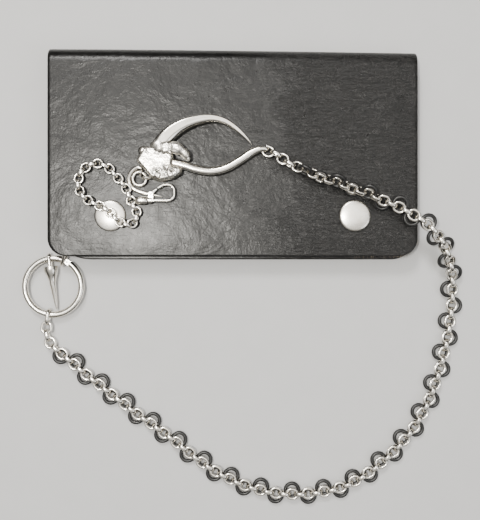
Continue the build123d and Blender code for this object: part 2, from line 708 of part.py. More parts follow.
KNUCKLE_LOW = 16.3
with BuildPart() as hook_knuckle:
    with BuildSketch(Plane.XY.offset(KNUCKLE_LOW)):
        with BuildLine():
            Polyline(
                (-50.0, -5.6), (-46.0, 1.6), (-39.1, 1.8), (-33.4, 0.8), (-30.6, -3.0), (-31.5, -8.5),
                (-41.2, -15.6),
                close=True,
            )
        make_face()
    extrude(amount=6.9)
    chamfer(hook_knuckle.edges().group_by(Axis.Z)[-1], length=1.2)
    with Locations((-46.2, -0.6, 19.6)):
        Sphere(3.0)
    with Locations(Plane(origin=(-44.9, -14.5, 19.0), z_dir=(0, 1, 0))):
        Torus(2.05, 0.75)
write(hook_knuckle, "hook_knuckle")

finger_points = [(-36.0, -0.6, 22.6), (-31.5, -0.2, 23.0), (-27.0, -1.4, 22.9), (-23.6, -3.8, 22.0)]
finger_sizes = [(2.0, 1.6), (2.1, 1.7), (1.9, 1.6), (1.3, 1.1)]
hook_finger = tapered_bar(stations_along(finger_points, finger_sizes))
write(hook_finger, "hook_finger")

with BuildPart() as hook_nugget:
    with BuildSketch(Plane.XY.offset(KNUCKLE_LOW)):
        with BuildLine():
            Polyline(
                (-41.4, -12.6), (-38.0, -8.6), (-31.0, -7.8), (-26.4, -9.8), (-26.6, -12.4), (-30.5, -14.8),
                (-36.5, -16.4), (-40.4, -15.8),
                close=True,
            )
        make_face()
    extrude(amount=7.4)
    chamfer(hook_nugget.edges().group_by(Axis.Z)[-1], length=1.6)
write(hook_nugget, "hook_nugget")

# ---------------------------------------------------------------- key strap: ring, small claw, swivel clip, chain
STRAP_Z = 19.0
STRAP_CENTRE = (-48.6, -14.9)
STRAP_RADIUS = 3.5
STRAP_WIRE = 1.6
STRAP_CLAW_ANGLE = 75.0
strap_ring = torus_at(Plane(origin=(*STRAP_CENTRE, STRAP_Z)), STRAP_RADIUS, STRAP_WIRE)
write(strap_ring, "strap_ring")

strap_out = Vector(cos(radians(STRAP_CLAW_ANGLE)), sin(radians(STRAP_CLAW_ANGLE)), 0)
strap_eye = Vector(*STRAP_CENTRE, STRAP_Z) + strap_out * STRAP_RADIUS
strap_points = [
    tuple(strap_eye + strap_out * 1.65), (-50.2, -9.3, 18.6), (-53.0, -11.4, 18.0), (-54.3, -15.3, 17.3),
    (-52.9, -19.1, 16.98), (-48.6, -21.5, 16.98), (-43.4, -22.8, 16.98), (-38.8, -23.7, 17.05),
]
strap_sizes = [
    (0.6, 0.6), (0.75, 0.75), (0.8, 0.8), (0.8, 0.8), (0.8, 0.78), (0.75, 0.75), (0.6, 0.6), (0.25, 0.25),
]
strap_bar = tapered_bar(stations_along(strap_points, strap_sizes))
with BuildPart() as strap_claw:
    add(strap_bar.part)
    with Locations(Plane(origin=strap_eye, x_dir=strap_out, z_dir=strap_out.cross(Vector(0, 0, 1)))):
        Torus(1.65, 0.6)
write(strap_claw, "strap_claw")

CLIP_Z = 19.0
CLIP_Y = -26.3
CLIP_WIRE = 0.8
clip_axis = Plane(origin=(-50.0, CLIP_Y, CLIP_Z), x_dir=(0, 1, 0), z_dir=(1, 0, 0))
CLIP_EYE = (-53.1, CLIP_Y, CLIP_Z)
with BuildPart() as clip_barrel:
    with BuildSketch(clip_axis.offset(0.6)):
        Circle(1.85)
    extrude(amount=5.2)
    with BuildSketch(clip_axis.offset(0.6)):
        Circle(1.85)
    with BuildSketch(clip_axis.offset(-1.2)):
        Circle(0.9)
    loft()
    with BuildSketch(clip_axis.offset(1.8)):
        Circle(0.95)
    extrude(amount=5, mode=Mode.SUBTRACT)
    with Locations(Plane(origin=CLIP_EYE)):
        Torus(CLIP_EYE_RADIUS, 0.6)
write(clip_barrel, "clip_barrel")

GATE_PIVOT = (-42.6, -22.9)
with BuildPart() as clip_hook:
    with BuildSketch(clip_axis.offset(2.0)):
        Circle(0.9)
    extrude(amount=4)
    with BuildSketch(clip_axis.offset(6.0)):
        Circle(1.6)
    extrude(amount=2.0)
    with BuildSketch(Plane.XY.offset(CLIP_Z - 0.75)) as base_plan:
        with Locations((-42.7, -24.3)):
            Rectangle(2.3, 5.0)
        fillet(base_plan.vertices(), radius=0.9)
    extrude(amount=1.5)
    with BuildLine():
        FilletPolyline(
            (-42.6, CLIP_Y, CLIP_Z), (-30.4, CLIP_Y, CLIP_Z), (-30.4, -18.0, CLIP_Z), (-36.0, -18.0, CLIP_Z),
            (-38.8, -19.7, CLIP_Z),
            radius=[3.6, 3.4, 1.8],
        )
    with BuildSketch(Plane(origin=(-42.6, CLIP_Y, CLIP_Z), z_dir=(1, 0, 0))):
        Circle(CLIP_WIRE)
    sweep()
    with BuildSketch(Plane.XY.offset(CLIP_Z - 0.35)):
        with Locations(GATE_PIVOT):
            Circle(1.55)
    extrude(amount=0.7, mode=Mode.SUBTRACT)
    with BuildSketch(Plane.XY.offset(CLIP_Z - 2)):
        with Locations(GATE_PIVOT):
            Circle(0.4)
    extrude(amount=4, mode=Mode.SUBTRACT)
write(clip_hook, "clip_hook")

gate_direction = Vector(-39.6 - GATE_PIVOT[0], -20.15 - GATE_PIVOT[1], 0)
gate_plane = Plane(origin=(*GATE_PIVOT, CLIP_Z), x_dir=gate_direction.normalized(), z_dir=(0, 0, 1))
with BuildPart() as clip_gate:
    with BuildSketch(gate_plane.offset(-0.28)):
        with Locations((0.75, 0)):
            SlotOverall(3.5, 1.8)
        Circle(0.45, mode=Mode.SUBTRACT)
    extrude(amount=0.56)
    with BuildSketch(gate_plane.offset(-0.75)):
        with Locations((2.9, 0)):
            Rectangle(2.2, 1.7)
    extrude(amount=1.5)
write(clip_gate, "clip_gate")

with BuildPart() as clip_pin:
    with BuildSketch(Plane.XY.offset(CLIP_Z - 0.85)):
        with Locations(GATE_PIVOT):
            Circle(0.4)
    extrude(amount=1.7)
write(clip_pin, "clip_pin")

KEY_Z = 18.95
KEY_OVER_CAP = 21.0
KEY_FIRST = 3.2             # from the clip's eye to the middle of the first link
KEY_TURN_RADIUS = 5.2       # the small chain doubles back this tightly beside the clip
KEY_TURN_CENTRE = (-55.0, -33.7)
KEY_START_X = CLIP_EYE[0] - KEY_FIRST * 0.34
KEY_START_Y = CLIP_EYE[1] + KEY_FIRST * 0.94
key_points = [
    (KEY_START_X, KEY_START_Y, KEY_Z), (KEY_START_X - 1.2, KEY_START_Y + 2.9, KEY_Z),
    (-61.0, -13.2, KEY_Z), (-65.6, -8.6, KEY_Z), (-71.2, -7.0, KEY_Z), (-76.6, -9.0, KEY_Z),
    (-80.0, -13.8, KEY_Z), (-80.2, -19.6, 19.2), (-77.4, -24.4, 20.4), (-72.6, -27.6, KEY_OVER_CAP),
    (-67.4, -29.9, KEY_OVER_CAP), (-62.8, -33.4, KEY_OVER_CAP),
]
for angle, height in ((-135, KEY_OVER_CAP), (-90, 20.6), (-45, 19.5), (0, KEY_Z), (24, KEY_Z)):
    turned = radians(angle)
    turn_x = KEY_TURN_CENTRE[0] + KEY_TURN_RADIUS * cos(turned)
    turn_y = KEY_TURN_CENTRE[1] + KEY_TURN_RADIUS * sin(turned)
    key_points.append((turn_x, turn_y, height))
key_points.append((CLIP_EYE[0] + KEY_FIRST * 0.47, CLIP_EYE[1] - KEY_FIRST * 0.88, KEY_Z))
with BuildLine() as key_route:
    Spline(*key_points)
key_path = key_route.edges()[0]
key_step = key_path.length / (KEY_LINK_COUNT - 1)


def key_plane(index):
    """Links of the small chain: even ones on edge, odd ones flat."""
    place = key_path.position_at(key_step * index, position_mode=PositionMode.LENGTH)
    along = key_path.tangent_at(key_step * index, position_mode=PositionMode.LENGTH)
    side = Vector(0, 0, 1).cross(along).normalized()
    return Plane(origin=place, x_dir=along, z_dir=side if index % 2 == 0 else along.cross(side))


key_link = oval_ring(KEY_LINK_LENGTH, KEY_LINK_WIDTH, KEY_LINK_WALL, KEY_LINK_BAND)
write(on_planes(key_link, [key_plane(i) for i in range(KEY_LINK_COUNT)]), "key_chain")
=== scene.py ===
import math
import random

import bmesh
import bpy
import numpy
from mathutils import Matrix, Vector, noise


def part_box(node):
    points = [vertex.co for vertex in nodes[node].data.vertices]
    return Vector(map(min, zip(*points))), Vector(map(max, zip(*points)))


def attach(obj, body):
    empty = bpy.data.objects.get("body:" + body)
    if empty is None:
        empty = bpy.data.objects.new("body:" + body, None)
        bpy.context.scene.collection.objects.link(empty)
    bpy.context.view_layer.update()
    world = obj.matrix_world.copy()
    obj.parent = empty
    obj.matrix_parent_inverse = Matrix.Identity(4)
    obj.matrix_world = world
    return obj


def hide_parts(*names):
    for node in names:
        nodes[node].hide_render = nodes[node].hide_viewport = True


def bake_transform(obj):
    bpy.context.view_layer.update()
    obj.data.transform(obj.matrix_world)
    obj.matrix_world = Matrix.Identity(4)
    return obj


# A closed leather chain wallet on a pale floor, seen from straight above. Metres; helpers take millimetres.

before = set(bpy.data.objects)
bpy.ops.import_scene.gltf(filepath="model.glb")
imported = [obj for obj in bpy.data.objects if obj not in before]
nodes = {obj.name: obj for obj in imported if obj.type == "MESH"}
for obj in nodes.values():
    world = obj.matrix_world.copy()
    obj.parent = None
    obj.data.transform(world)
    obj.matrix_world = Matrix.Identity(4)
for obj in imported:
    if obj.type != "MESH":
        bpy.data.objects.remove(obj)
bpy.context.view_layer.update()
MM = 0.001
random.seed(7)


# ---------------------------------------------------------------- small helpers
def new_object(name, points, faces, smooth=True):
    """A mesh object from points in millimetres."""
    mesh = bpy.data.meshes.new(name)
    mesh.from_pydata([tuple(c * MM for c in p) for p in points], [], faces)
    mesh.polygons.foreach_set("use_smooth", [smooth] * len(mesh.polygons))
    mesh.update()
    piece = bpy.data.objects.new(name, mesh)
    bpy.context.scene.collection.objects.link(piece)
    return piece


def outward(piece):
    """Turn every face to point out of a closed mesh."""
    shape = bmesh.new()
    shape.from_mesh(piece.data)
    bmesh.ops.recalc_face_normals(shape, faces=shape.faces)
    shape.to_mesh(piece.data)
    shape.free()
    piece.data.update()


def settle(piece):
    """Replace a piece's mesh with the result of its modifiers."""
    shape = bpy.data.meshes.new_from_object(piece.evaluated_get(bpy.context.evaluated_depsgraph_get()))
    piece.modifiers.clear()
    piece.data = shape
    shape.polygons.foreach_set("use_smooth", [True] * len(shape.polygons))
    shape.update()


def merged_copy(name, *sources):
    """A new mesh object holding copies of several CAD nodes' meshes."""
    shape = bmesh.new()
    for source in sources:
        shape.from_mesh(nodes[source].data)
    bmesh.ops.remove_doubles(shape, verts=shape.verts, dist=1e-6)
    mesh = bpy.data.meshes.new(name)
    shape.to_mesh(mesh)
    shape.free()
    piece = bpy.data.objects.new(name, mesh)
    bpy.context.scene.collection.objects.link(piece)
    return piece


def cast(piece, voxel, rounds, factor=0.5):
    """Fuse a piece into one even skin and round its edges a little."""
    remesh = piece.modifiers.new("skin", "REMESH")
    remesh.mode = "VOXEL"
    remesh.voxel_size = voxel * MM
    remesh.use_smooth_shade = True
    soften = piece.modifiers.new("soften", "SMOOTH")
    soften.factor = factor
    soften.iterations = rounds
    settle(piece)


def displace(piece, height):
    """Move each point along its normal by height(point in mm, normal), in millimetres."""
    mesh = piece.data
    moved = [v.co + v.normal * height(v.co / MM, v.normal) * MM for v in mesh.vertices]
    for vertex, place in zip(mesh.vertices, moved):
        vertex.co = place
    mesh.update()


def soft_noise(point, size, seed=0.0):
    """Smooth noise from -1 to 1 with features about size millimetres across."""
    return noise.noise(Vector(point) / size + Vector((seed, seed * 1.7, seed * 0.3)))


def bump_at(value, centre, width):
    """A smooth bump of height 1."""
    return math.exp(-((value - centre) / width) ** 2)


def through(points, per_span):
    """A smooth line through points of any number of values."""
    result = []
    last = len(points) - 1
    for index in range(last):
        a = points[max(index - 1, 0)]
        b = points[index]
        c = points[index + 1]
        d = points[min(index + 2, last)]
        for step in range(per_span):
            t = step / per_span
            result.append(tuple(
                0.5 * (2 * q + (r - p) * t + (2 * p - 5 * q + 4 * r - s) * t * t
                       + (3 * q - p - 3 * r + s) * t ** 3)
                for p, q, r, s in zip(a, b, c, d)
            ))
    result.append(tuple(points[last]))
    return result


def sweep(name, stations, sides, shape=lambda angle, t: 1.0, up=(0, 0, 1)):
    """A closed bar through (x, y, z, half width, half height) stations; shape scales its radius."""
    points = []
    faces = []
    count = len(stations)
    up = Vector(up)
    for index, station in enumerate(stations):
        here = Vector(station[:3])
        before = Vector(stations[max(index - 1, 0)][:3])
        after = Vector(stations[min(index + 1, count - 1)][:3])
        along = (after - before).normalized()
        side = along.cross(up).normalized()
        rise = side.cross(along)
        for step in range(sides):
            angle = 2 * math.pi * step / sides
            scale = shape(angle, index / (count - 1))
            level = side * math.cos(angle) * station[3] * scale
            points.append(here + level + rise * math.sin(angle) * station[4] * scale)
    for index in range(count - 1):
        for step in range(sides):
            follow = (step + 1) % sides
            faces.append((index * sides + step, index * sides + follow,
                          (index + 1) * sides + follow, (index + 1) * sides + step))
    faces.append(tuple(range(sides))[::-1])
    faces.append(tuple(range((count - 1) * sides, count * sides)))
    piece = new_object(name, points, faces)
    outward(piece)
    return piece


# ---------------------------------------------------------------- leather sheets
def rounded(low, high, length, near=(0.0, 0.0), far=(0.0, 0.0)):
    """Left and right limits of a sheet with rounded corners, as a function of the distance along it."""
    def limits(s, inset=0.0):
        left = low + inset
        right = high - inset
        for distance, radii in ((s, near), (length - s, far)):
            for side, radius in enumerate(radii):
                if radius > inset and distance < radius:
                    inner = radius - inset
                    cut = inner - math.sqrt(max(inner ** 2 - (radius - distance) ** 2, 0.0))
                    if side == 0:
                        left += cut
                    else:
                        right -= cut
        return left, right
    return limits


def row_places(length, near, far, step, start, stop):
    """Distances along a sheet, closer together at its rounded corners."""
    places = []
    s = start
    while s < stop - 1e-6:
        places.append(s)
        close = min(s, length - s)
        fine = 0.25 + close * 0.22
        s += min(step, fine) if (s < near + 1 or length - s < far + 1) else step
    places.append(stop)
    return places


def sheet(name, place, limits, length, thickness, near=0.0, far=0.0, step=1.6, columns=110, edge=0.4,
          seam=False):
    """A sheet of leather: place(x, s, depth) puts it in space, limits gives its sides, seam opens its end."""
    stop = length if seam else length - edge
    rows = row_places(length, near, far, step, edge, stop)
    flat = []
    for s in rows:
        left, right = limits(s, edge)
        flat += [(left + (right - left) * c / columns, s) for c in range(columns + 1)]
    width = columns + 1
    count = len(flat)
    points = [place(x, s, 0.0) for x, s in flat] + [place(x, s, thickness) for x, s in flat]
    spots = flat + flat
    faces = []
    kinds = []
    for row in range(len(rows) - 1):
        for column in range(columns):
            a = row * width + column
            quad = (a, a + 1, a + 1 + width, a + width)
            faces.append(quad)
            kinds.append(0)
            faces.append(tuple(i + count for i in reversed(quad)))
            kinds.append(2)
    last = (len(rows) - 1) * width
    loop = list(range(width)) + [r * width + columns for r in range(1, len(rows))]
    loop += [last + c for c in range(columns - 1, -1, -1)] + [r * width for r in range(len(rows) - 2, 0, -1)]
    rings = []
    for depth in (edge, thickness - edge):
        ring = []
        for index, vertex in enumerate(loop):
            x, s = flat[vertex]
            before = flat[loop[index - 1]]
            after = flat[loop[(index + 1) % len(loop)]]
            run = Vector((after[0] - before[0], after[1] - before[1]))
            out = Vector((run.y, -run.x)).normalized() * edge
            if seam and vertex >= last:
                out.y = 0.0
                out.x = edge * (1 if vertex == last + columns else -1 if vertex == last else 0)
            ring.append(len(points))
            points.append(place(x + out.x, s + out.y, depth))
            spots.append((x + out.x, s + out.y))
        rings.append(ring)
    bands = [loop, rings[0], rings[1], [v + count for v in loop]]
    for band, kind in ((0, 0), (1, 1), (2, 2)):
        upper, lower = bands[band], bands[band + 1]
        for index in range(len(loop)):
            follow = (index + 1) % len(loop)
            if seam and loop[index] >= last and loop[follow] >= last:
                continue
            faces.append((upper[index], lower[index], lower[follow], upper[follow]))
            kinds.append(kind)
    piece = new_object(name, points, faces)
    piece.data.polygons.foreach_set("material_index", kinds)
    layer = piece.data.uv_layers.new(name="flat")
    for corner, loop_data in enumerate(piece.data.loops):
        x, s = spots[loop_data.vertex_index]
        layer.data[corner].uv = (x / 100, s / 100)
    if not seam:
        outward(piece)
    return piece


def flat_sheet(name, node, corners=3.0, crown=0.0, wave=0.12, shrink=(0, 0, 0, 0), columns=60, step=2.5):
    """A level leather panel in the place of a CAD panel, a little crowned and wavy."""
    low, high = (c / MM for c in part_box(node))
    x0, x1 = low.x + shrink[0], high.x - shrink[1]
    y0, y1 = low.y + shrink[2], high.y - shrink[3]
    length = y1 - y0
    thick = high.z - low.z

    def place(x, s, depth):
        across = (x - x0) / (x1 - x0) * 2 - 1
        along = s / length * 2 - 1
        lift = crown * max(1 - across ** 4, 0) * max(1 - along ** 4, 0)
        ripple = wave * soft_noise((x, s, 3.0), 14.0, high.z)
        return (x, y0 + s, high.z - depth + (lift + ripple) * (1 - 0.5 * depth / thick) - wave * 0.6)
    limits = rounded(x0, x1, length, (corners, corners), (corners, corners))
    return sheet(name, place, limits, length, thick, corners, corners, step, columns, min(0.3, thick * 0.35))


def stitches(name, lines, pitch=3.0, length=2.1, radius=0.22):
    """A run of thread stitches along straight lines, in millimetres."""
    points = []
    faces = []
    for start, end in lines:
        start, end = Vector(start), Vector(end)
        run = end - start
        along = run.normalized()
        side = along.cross(Vector((0, 0, 1))).normalized()
        for index in range(int(run.length / pitch)):
            middle = start + along * (index + 0.5) * pitch
            slant = (along + side * 0.12).normalized()
            first = len(points)
            for part in range(7):
                t = part / 6 * 2 - 1
                swell = radius * math.sqrt(max(1 - t ** 4, 0.02))
                sink = radius * 0.9 * t * t
                for corner in range(6):
                    angle = math.pi * corner / 3
                    rise = math.sin(angle) * swell - sink
                    ring = side * math.cos(angle) * swell + Vector((0, 0, 1)) * rise
                    points.append(middle + slant * t * length / 2 + ring)
            for part in range(6):
                for corner in range(6):
                    follow = (corner + 1) % 6
                    base = first + part * 6
                    faces.append((base + corner, base + follow, base + 6 + follow, base + 6 + corner))
            faces.append(tuple(first + c for c in range(5, -1, -1)))
            faces.append(tuple(first + 36 + c for c in range(6)))
    piece = new_object(name, points, faces)
    outward(piece)
    return piece


# ---------------------------------------------------------------- materials
class Finish:
    """A material's node graph."""

    def __init__(self, name):
        self.material = bpy.data.materials.new(name)
        self.material.use_nodes = True
        self.tree = self.material.node_tree
        self.shader = self.tree.nodes["Principled BSDF"]

    def add(self, kind, values=(), **settings):
        node = self.tree.nodes.new(kind)
        for key, value in settings.items():
            setattr(node, key, value)
        for key, value in values:
            self.feed(node.inputs[key], value)
        return node

    def feed(self, socket, value):
        if isinstance(value, bpy.types.NodeSocket):
            self.tree.links.new(value, socket)
        else:
            socket.default_value = value

    def set(self, key, value):
        self.feed(self.shader.inputs[key], value)

    def place(self, kind="Object", scale=(1, 1, 1), turn=0.0):
        source = self.add("ShaderNodeTexCoord").outputs[kind]
        return self.add("ShaderNodeMapping", [
            ("Vector", source), ("Scale", scale), ("Rotation", (0, 0, turn)),
        ]).outputs["Vector"]

    def noise(self, where, scale, detail=4.0, rough=0.5, distortion=0.0):
        return self.add("ShaderNodeTexNoise", [
            ("Vector", where), ("Scale", scale), ("Detail", detail), ("Roughness", rough),
            ("Distortion", distortion),
        ]).outputs["Fac"]

    def cells(self, where, scale, feature="F1", smooth=None):
        node = self.add("ShaderNodeTexVoronoi", feature=feature)
        self.feed(node.inputs["Vector"], where)
        self.feed(node.inputs["Scale"], scale)
        if smooth is not None:
            node.inputs["Smoothness"].default_value = smooth
        return node.outputs["Distance"]

    def fit(self, value, low, high, to_low=0.0, to_high=1.0):
        return self.add("ShaderNodeMapRange", [
            ("Value", value), ("From Min", low), ("From Max", high), ("To Min", to_low), ("To Max", to_high),
        ]).outputs["Result"]

    def math(self, how, a, b=0.0):
        node = self.add("ShaderNodeMath", operation=how)
        self.feed(node.inputs[0], a)
        self.feed(node.inputs[1], b)
        return node.outputs[0]

    def mix(self, factor, a, b):
        node = self.add("ShaderNodeMix", data_type="RGBA")
        self.feed(node.inputs[0], factor)
        self.feed(node.inputs[6], a)
        self.feed(node.inputs[7], b)
        return node.outputs[2]

    def lines(self, where, scale, width, detail=6.0, distortion=0.5):
        """Thin branching lines, 1 on a line and 0 off it."""
        source = self.noise(where, scale, detail, 0.55, distortion)
        value = self.math("ABSOLUTE", self.math("SUBTRACT", source, 0.5))
        return self.fit(value, 0.0, width, 1.0, 0.0)

    def bump(self, height, strength, distance, below=None):
        values = [("Height", height), ("Strength", strength), ("Distance", distance * MM)]
        if below is not None:
            values.append(("Normal", below))
        return self.add("ShaderNodeBump", values).outputs["Normal"]


def grey(value, warm=0.0):
    return (value * (1 + warm), value, value * (1 - warm), 1.0)


def outer_leather(name, kind="UV", creased=1.0):
    """Glossy black hide: smooth and scratched at one end, finely creased at the other."""
    f = Finish(name)
    unit = 1.0 if kind == "UV" else 10.0
    where = f.place(kind, (unit, unit, unit))
    u = f.add("ShaderNodeSeparateXYZ", [("Vector", where)]).outputs["X"]
    patches = f.noise(where, 4.2, 5.0, 0.6, 0.4)
    blotches = f.noise(where, 22.0, 6.0, 0.65)
    right = f.fit(f.math("ADD", u, f.math("MULTIPLY", f.math("SUBTRACT", patches, 0.5), 1.1)), -0.02, 0.42)
    creases = f.lines(f.place(kind, (unit * 0.75, unit * 1.5, unit), 0.15), 17.0, 0.030, 9.0, 0.9)
    small_creases = f.lines(f.place(kind, (unit * 0.8, unit * 2.9, unit), -0.12), 26.0, 0.06, 6.0, 1.1)
    crazed = f.math("MULTIPLY", f.math("MAXIMUM", creases, f.math("MULTIPLY", small_creases, 0.7)), right)
    crazed = f.math("MULTIPLY", crazed, creased)
    long_way = f.place(kind, (unit * 1.2, unit * 30, unit), 0.35)
    cross_way = f.place(kind, (unit * 26, unit * 1.0, unit), -0.5)
    scratch_a = f.fit(f.noise(long_way, 7.0, 3.0, 0.6), 0.645, 0.70)
    scratch_b = f.fit(f.noise(cross_way, 7.0, 3.0, 0.6), 0.655, 0.71)
    scratches = f.math("MAXIMUM", scratch_a, scratch_b)
    pores = f.cells(where, 150.0)
    fine = f.noise(where, 420.0, 3.0, 0.6)
    base = f.mix(blotches, grey(0.0022, 0.02), grey(0.0055, 0.05))
    base = f.mix(f.math("MULTIPLY", f.math("MAXIMUM", scratches, crazed), 0.22), base, grey(0.070, 0.06))
    f.set("Base Color", base)
    rough = f.fit(blotches, 0.25, 0.75, 0.25, 0.37)
    rough = f.math("ADD", rough, f.math("MULTIPLY", scratches, 0.16))
    f.set("Roughness", rough)
    f.shader.inputs["Specular IOR Level"].default_value = 0.30
    f.shader.inputs["Coat Weight"].default_value = 0.06
    f.shader.inputs["Coat Roughness"].default_value = 0.2
    wide = f.bump(patches, 0.45, 2.0)
    middle = f.bump(f.noise(where, 46.0, 5.0, 0.6), 0.30, 0.30, wide)
    creased_normal = f.bump(f.math("MULTIPLY", crazed, -1.0), 0.6, 0.17, middle)
    grain = f.bump(pores, 0.16, 0.10, creased_normal)
    scored = f.bump(f.math("MULTIPLY", scratches, -1.0), 0.35, 0.05, grain)
    f.set("Normal", f.bump(fine, 0.12, 0.05, scored))
    return f.material


def edge_leather(name, kind="UV"):
    """Cut and burnished edge: brown fibres under worn black dye."""
    f = Finish(name)
    unit = 1.0 if kind == "UV" else 10.0
    where = f.place(kind, (unit, unit, unit))
    worn = f.noise(where, 30.0, 6.0, 0.65)
    fibres = f.noise(f.place(kind, (unit * 3, unit * 3, unit * 3)), 160.0, 3.0)
    base = f.mix(f.fit(worn, 0.40, 0.60), (0.020, 0.016, 0.013, 1), (0.15, 0.105, 0.07, 1))
    f.set("Base Color", f.mix(f.fit(fibres, 0.5, 0.7), base, (0.26, 0.20, 0.15, 1)))
    f.set("Roughness", f.fit(worn, 0.3, 0.7, 0.38, 0.62))
    f.set("Normal", f.bump(fibres, 0.5, 0.12, f.bump(worn, 0.3, 0.2)))
    return f.material


def inner_leather(name, kind="Object", tone=0.016):
    """Satin black leather with an even pebbled grain."""
    f = Finish(name)
    unit = 1.0 if kind == "UV" else 10.0
    where = f.place(kind, (unit, unit, unit))
    pebbles = f.cells(where, 120.0, "SMOOTH_F1", 0.6)
    tired = f.noise(where, 12.0, 6.0, 0.6)
    f.set("Base Color", f.mix(tired, grey(tone * 0.7, 0.04), grey(tone * 1.7, 0.06)))
    f.set("Roughness", f.fit(tired, 0.3, 0.7, 0.40, 0.58))
    f.shader.inputs["Specular IOR Level"].default_value = 0.5
    first = f.bump(tired, 0.25, 0.5)
    f.set("Normal", f.bump(f.noise(where, 500.0, 3.0), 0.15, 0.05, f.bump(pebbles, 0.45, 0.16, first)))
    return f.material


def cloth(name, tone, kind="Object", pitch=0.5):
    """A plain woven fabric."""
    f = Finish(name)
    unit = 1000.0 / pitch if kind == "Object" else 100.0 / pitch
    where = f.place(kind, (unit, unit, unit))
    parts = f.add("ShaderNodeSeparateXYZ", [("Vector", where)])
    warp = f.math("ABSOLUTE", f.math("SINE", f.math("MULTIPLY", parts.outputs["X"], math.pi)))
    weft = f.math("ABSOLUTE", f.math("SINE", f.math("MULTIPLY", parts.outputs["Y"], math.pi)))
    weave = f.math("MULTIPLY", warp, weft)
    dust = f.noise(f.place(kind, (unit * 0.05,) * 3), 2.0, 5.0)
    f.set("Base Color", f.mix(f.math("MULTIPLY", weave, dust), grey(tone * 0.5), grey(tone * 2.0, 0.04)))
    f.set("Roughness", 0.85)
    f.shader.inputs["Sheen Weight"].default_value = 0.3
    f.set("Normal", f.bump(weave, 0.5, 0.12))
    return f.material


def silver(name, tint=(0.95, 0.925, 0.87), dark=(0.09, 0.06, 0.035), rough=(0.14, 0.30), reach=1.3,
           pits=0.12, cover=0.85):
    """Handled silver: bright where rubbed, brown in the recesses partly as oxide and partly as painted shade,
    finely scratched.
    """
    f = Finish(name)
    where = f.place("Object", (1000, 1000, 1000))
    # The ambient occlusion mask darkens the colour in recesses: partly silver oxide, partly painted shade.
    hollow = f.add("ShaderNodeAmbientOcclusion", [("Distance", reach * MM)], samples=8).outputs["AO"]
    mottle = f.noise(where, 0.28, 6.0, 0.65)
    uneven = f.math("MULTIPLY", f.math("SUBTRACT", mottle, 0.5), 0.35)
    rubbed_and_lit = f.fit(f.math("ADD", hollow, uneven), 0.32, 0.82)
    scuffs = f.noise(f.place("Object", (1500, 1500, 1500)), 1.6, 5.0, 0.7)
    fine = f.noise(f.place("Object", (4200, 700, 2000), 0.6), 1.0, 3.0, 0.6)
    oxide_and_shade = f.math("SUBTRACT", 1.0, f.math("MULTIPLY", f.math("SUBTRACT", 1.0, rubbed_and_lit), cover))
    yellowed = (tint[0] * 0.86, tint[1] * 0.83, tint[2] * 0.78, 1.0)
    bright = f.mix(f.fit(mottle, 0.3, 0.7), (*tint, 1.0), yellowed)
    f.set("Base Color", f.mix(oxide_and_shade, (*dark, 1.0), bright))
    f.shader.inputs["Metallic"].default_value = 1.0
    smooth = f.fit(scuffs, 0.3, 0.7, rough[0], rough[1])
    f.set("Roughness", f.math("ADD", smooth, f.math("MULTIPLY", f.math("SUBTRACT", 1.0, oxide_and_shade), 0.35)))
    first = f.bump(mottle, pits, 0.5)
    second = f.bump(scuffs, 0.10, 0.06, first)
    f.set("Normal", f.bump(fine, 0.06, 0.03, second))
    return f.material


def steel(name, tone=(0.55, 0.54, 0.52), rough=(0.28, 0.42)):
    """Plain machined steel or brass with a fine directional finish."""
    f = Finish(name)
    grain = f.noise(f.place("Object", (900, 9000, 2500)), 1.0, 4.0, 0.6)
    marks = f.noise(f.place("Object", (1000, 1000, 1000)), 0.5, 5.0, 0.6)
    f.set("Base Color", f.mix(marks, (*(c * 0.75 for c in tone), 1.0), (*tone, 1.0)))
    f.shader.inputs["Metallic"].default_value = 1.0
    f.set("Roughness", f.fit(grain, 0.3, 0.7, rough[0], rough[1]))
    f.set("Normal", f.bump(grain, 0.08, 0.03, f.bump(marks, 0.1, 0.1)))
    return f.material


def rubber_finish(name):
    """Satin black rubber with dust and a faint mould texture."""
    f = Finish(name)
    where = f.place("Object", (1000, 1000, 1000))
    dust = f.noise(where, 0.5, 6.0, 0.7)
    specks = f.noise(where, 5.0, 3.0)
    f.set("Base Color", f.mix(f.fit(dust, 0.45, 0.75), grey(0.009), grey(0.030, 0.03)))
    f.set("Roughness", f.fit(dust, 0.3, 0.7, 0.30, 0.50))
    f.shader.inputs["Specular IOR Level"].default_value = 0.55
    f.set("Normal", f.bump(specks, 0.15, 0.05, f.bump(dust, 0.12, 0.2)))
    return f.material


def thread_finish(name, tone=0.03):
    """Waxed sewing thread with its twist."""
    f = Finish(name)
    twist = f.add("ShaderNodeTexWave", [
        ("Vector", f.place("Object", (1000, 1000, 1000), 0.7)), ("Scale", 2.2), ("Distortion", 0.4),
    ]).outputs["Fac"]
    f.set("Base Color", f.mix(twist, grey(tone * 0.5), grey(tone * 1.6, 0.05)))
    f.set("Roughness", f.fit(twist, 0.0, 1.0, 0.45, 0.62))
    f.set("Normal", f.bump(twist, 0.5, 0.08))
    return f.material


def fibre_finish(name):
    """Loose leather fibres."""
    f = Finish(name)
    tone = f.noise(f.place("Object", (1000, 1000, 1000)), 1.5, 4.0)
    f.set("Base Color", f.mix(tone, (0.16, 0.12, 0.085, 1), (0.42, 0.34, 0.26, 1)))
    f.set("Roughness", f.fit(tone, 0.3, 0.7, 0.6, 0.8))
    f.set("Normal", f.bump(tone, 0.2, 0.03))
    return f.material


def paint(piece, *materials):
    """Give a piece its materials, in slot order."""
    piece.data.materials.clear()
    for material in materials:
        piece.data.materials.append(material)


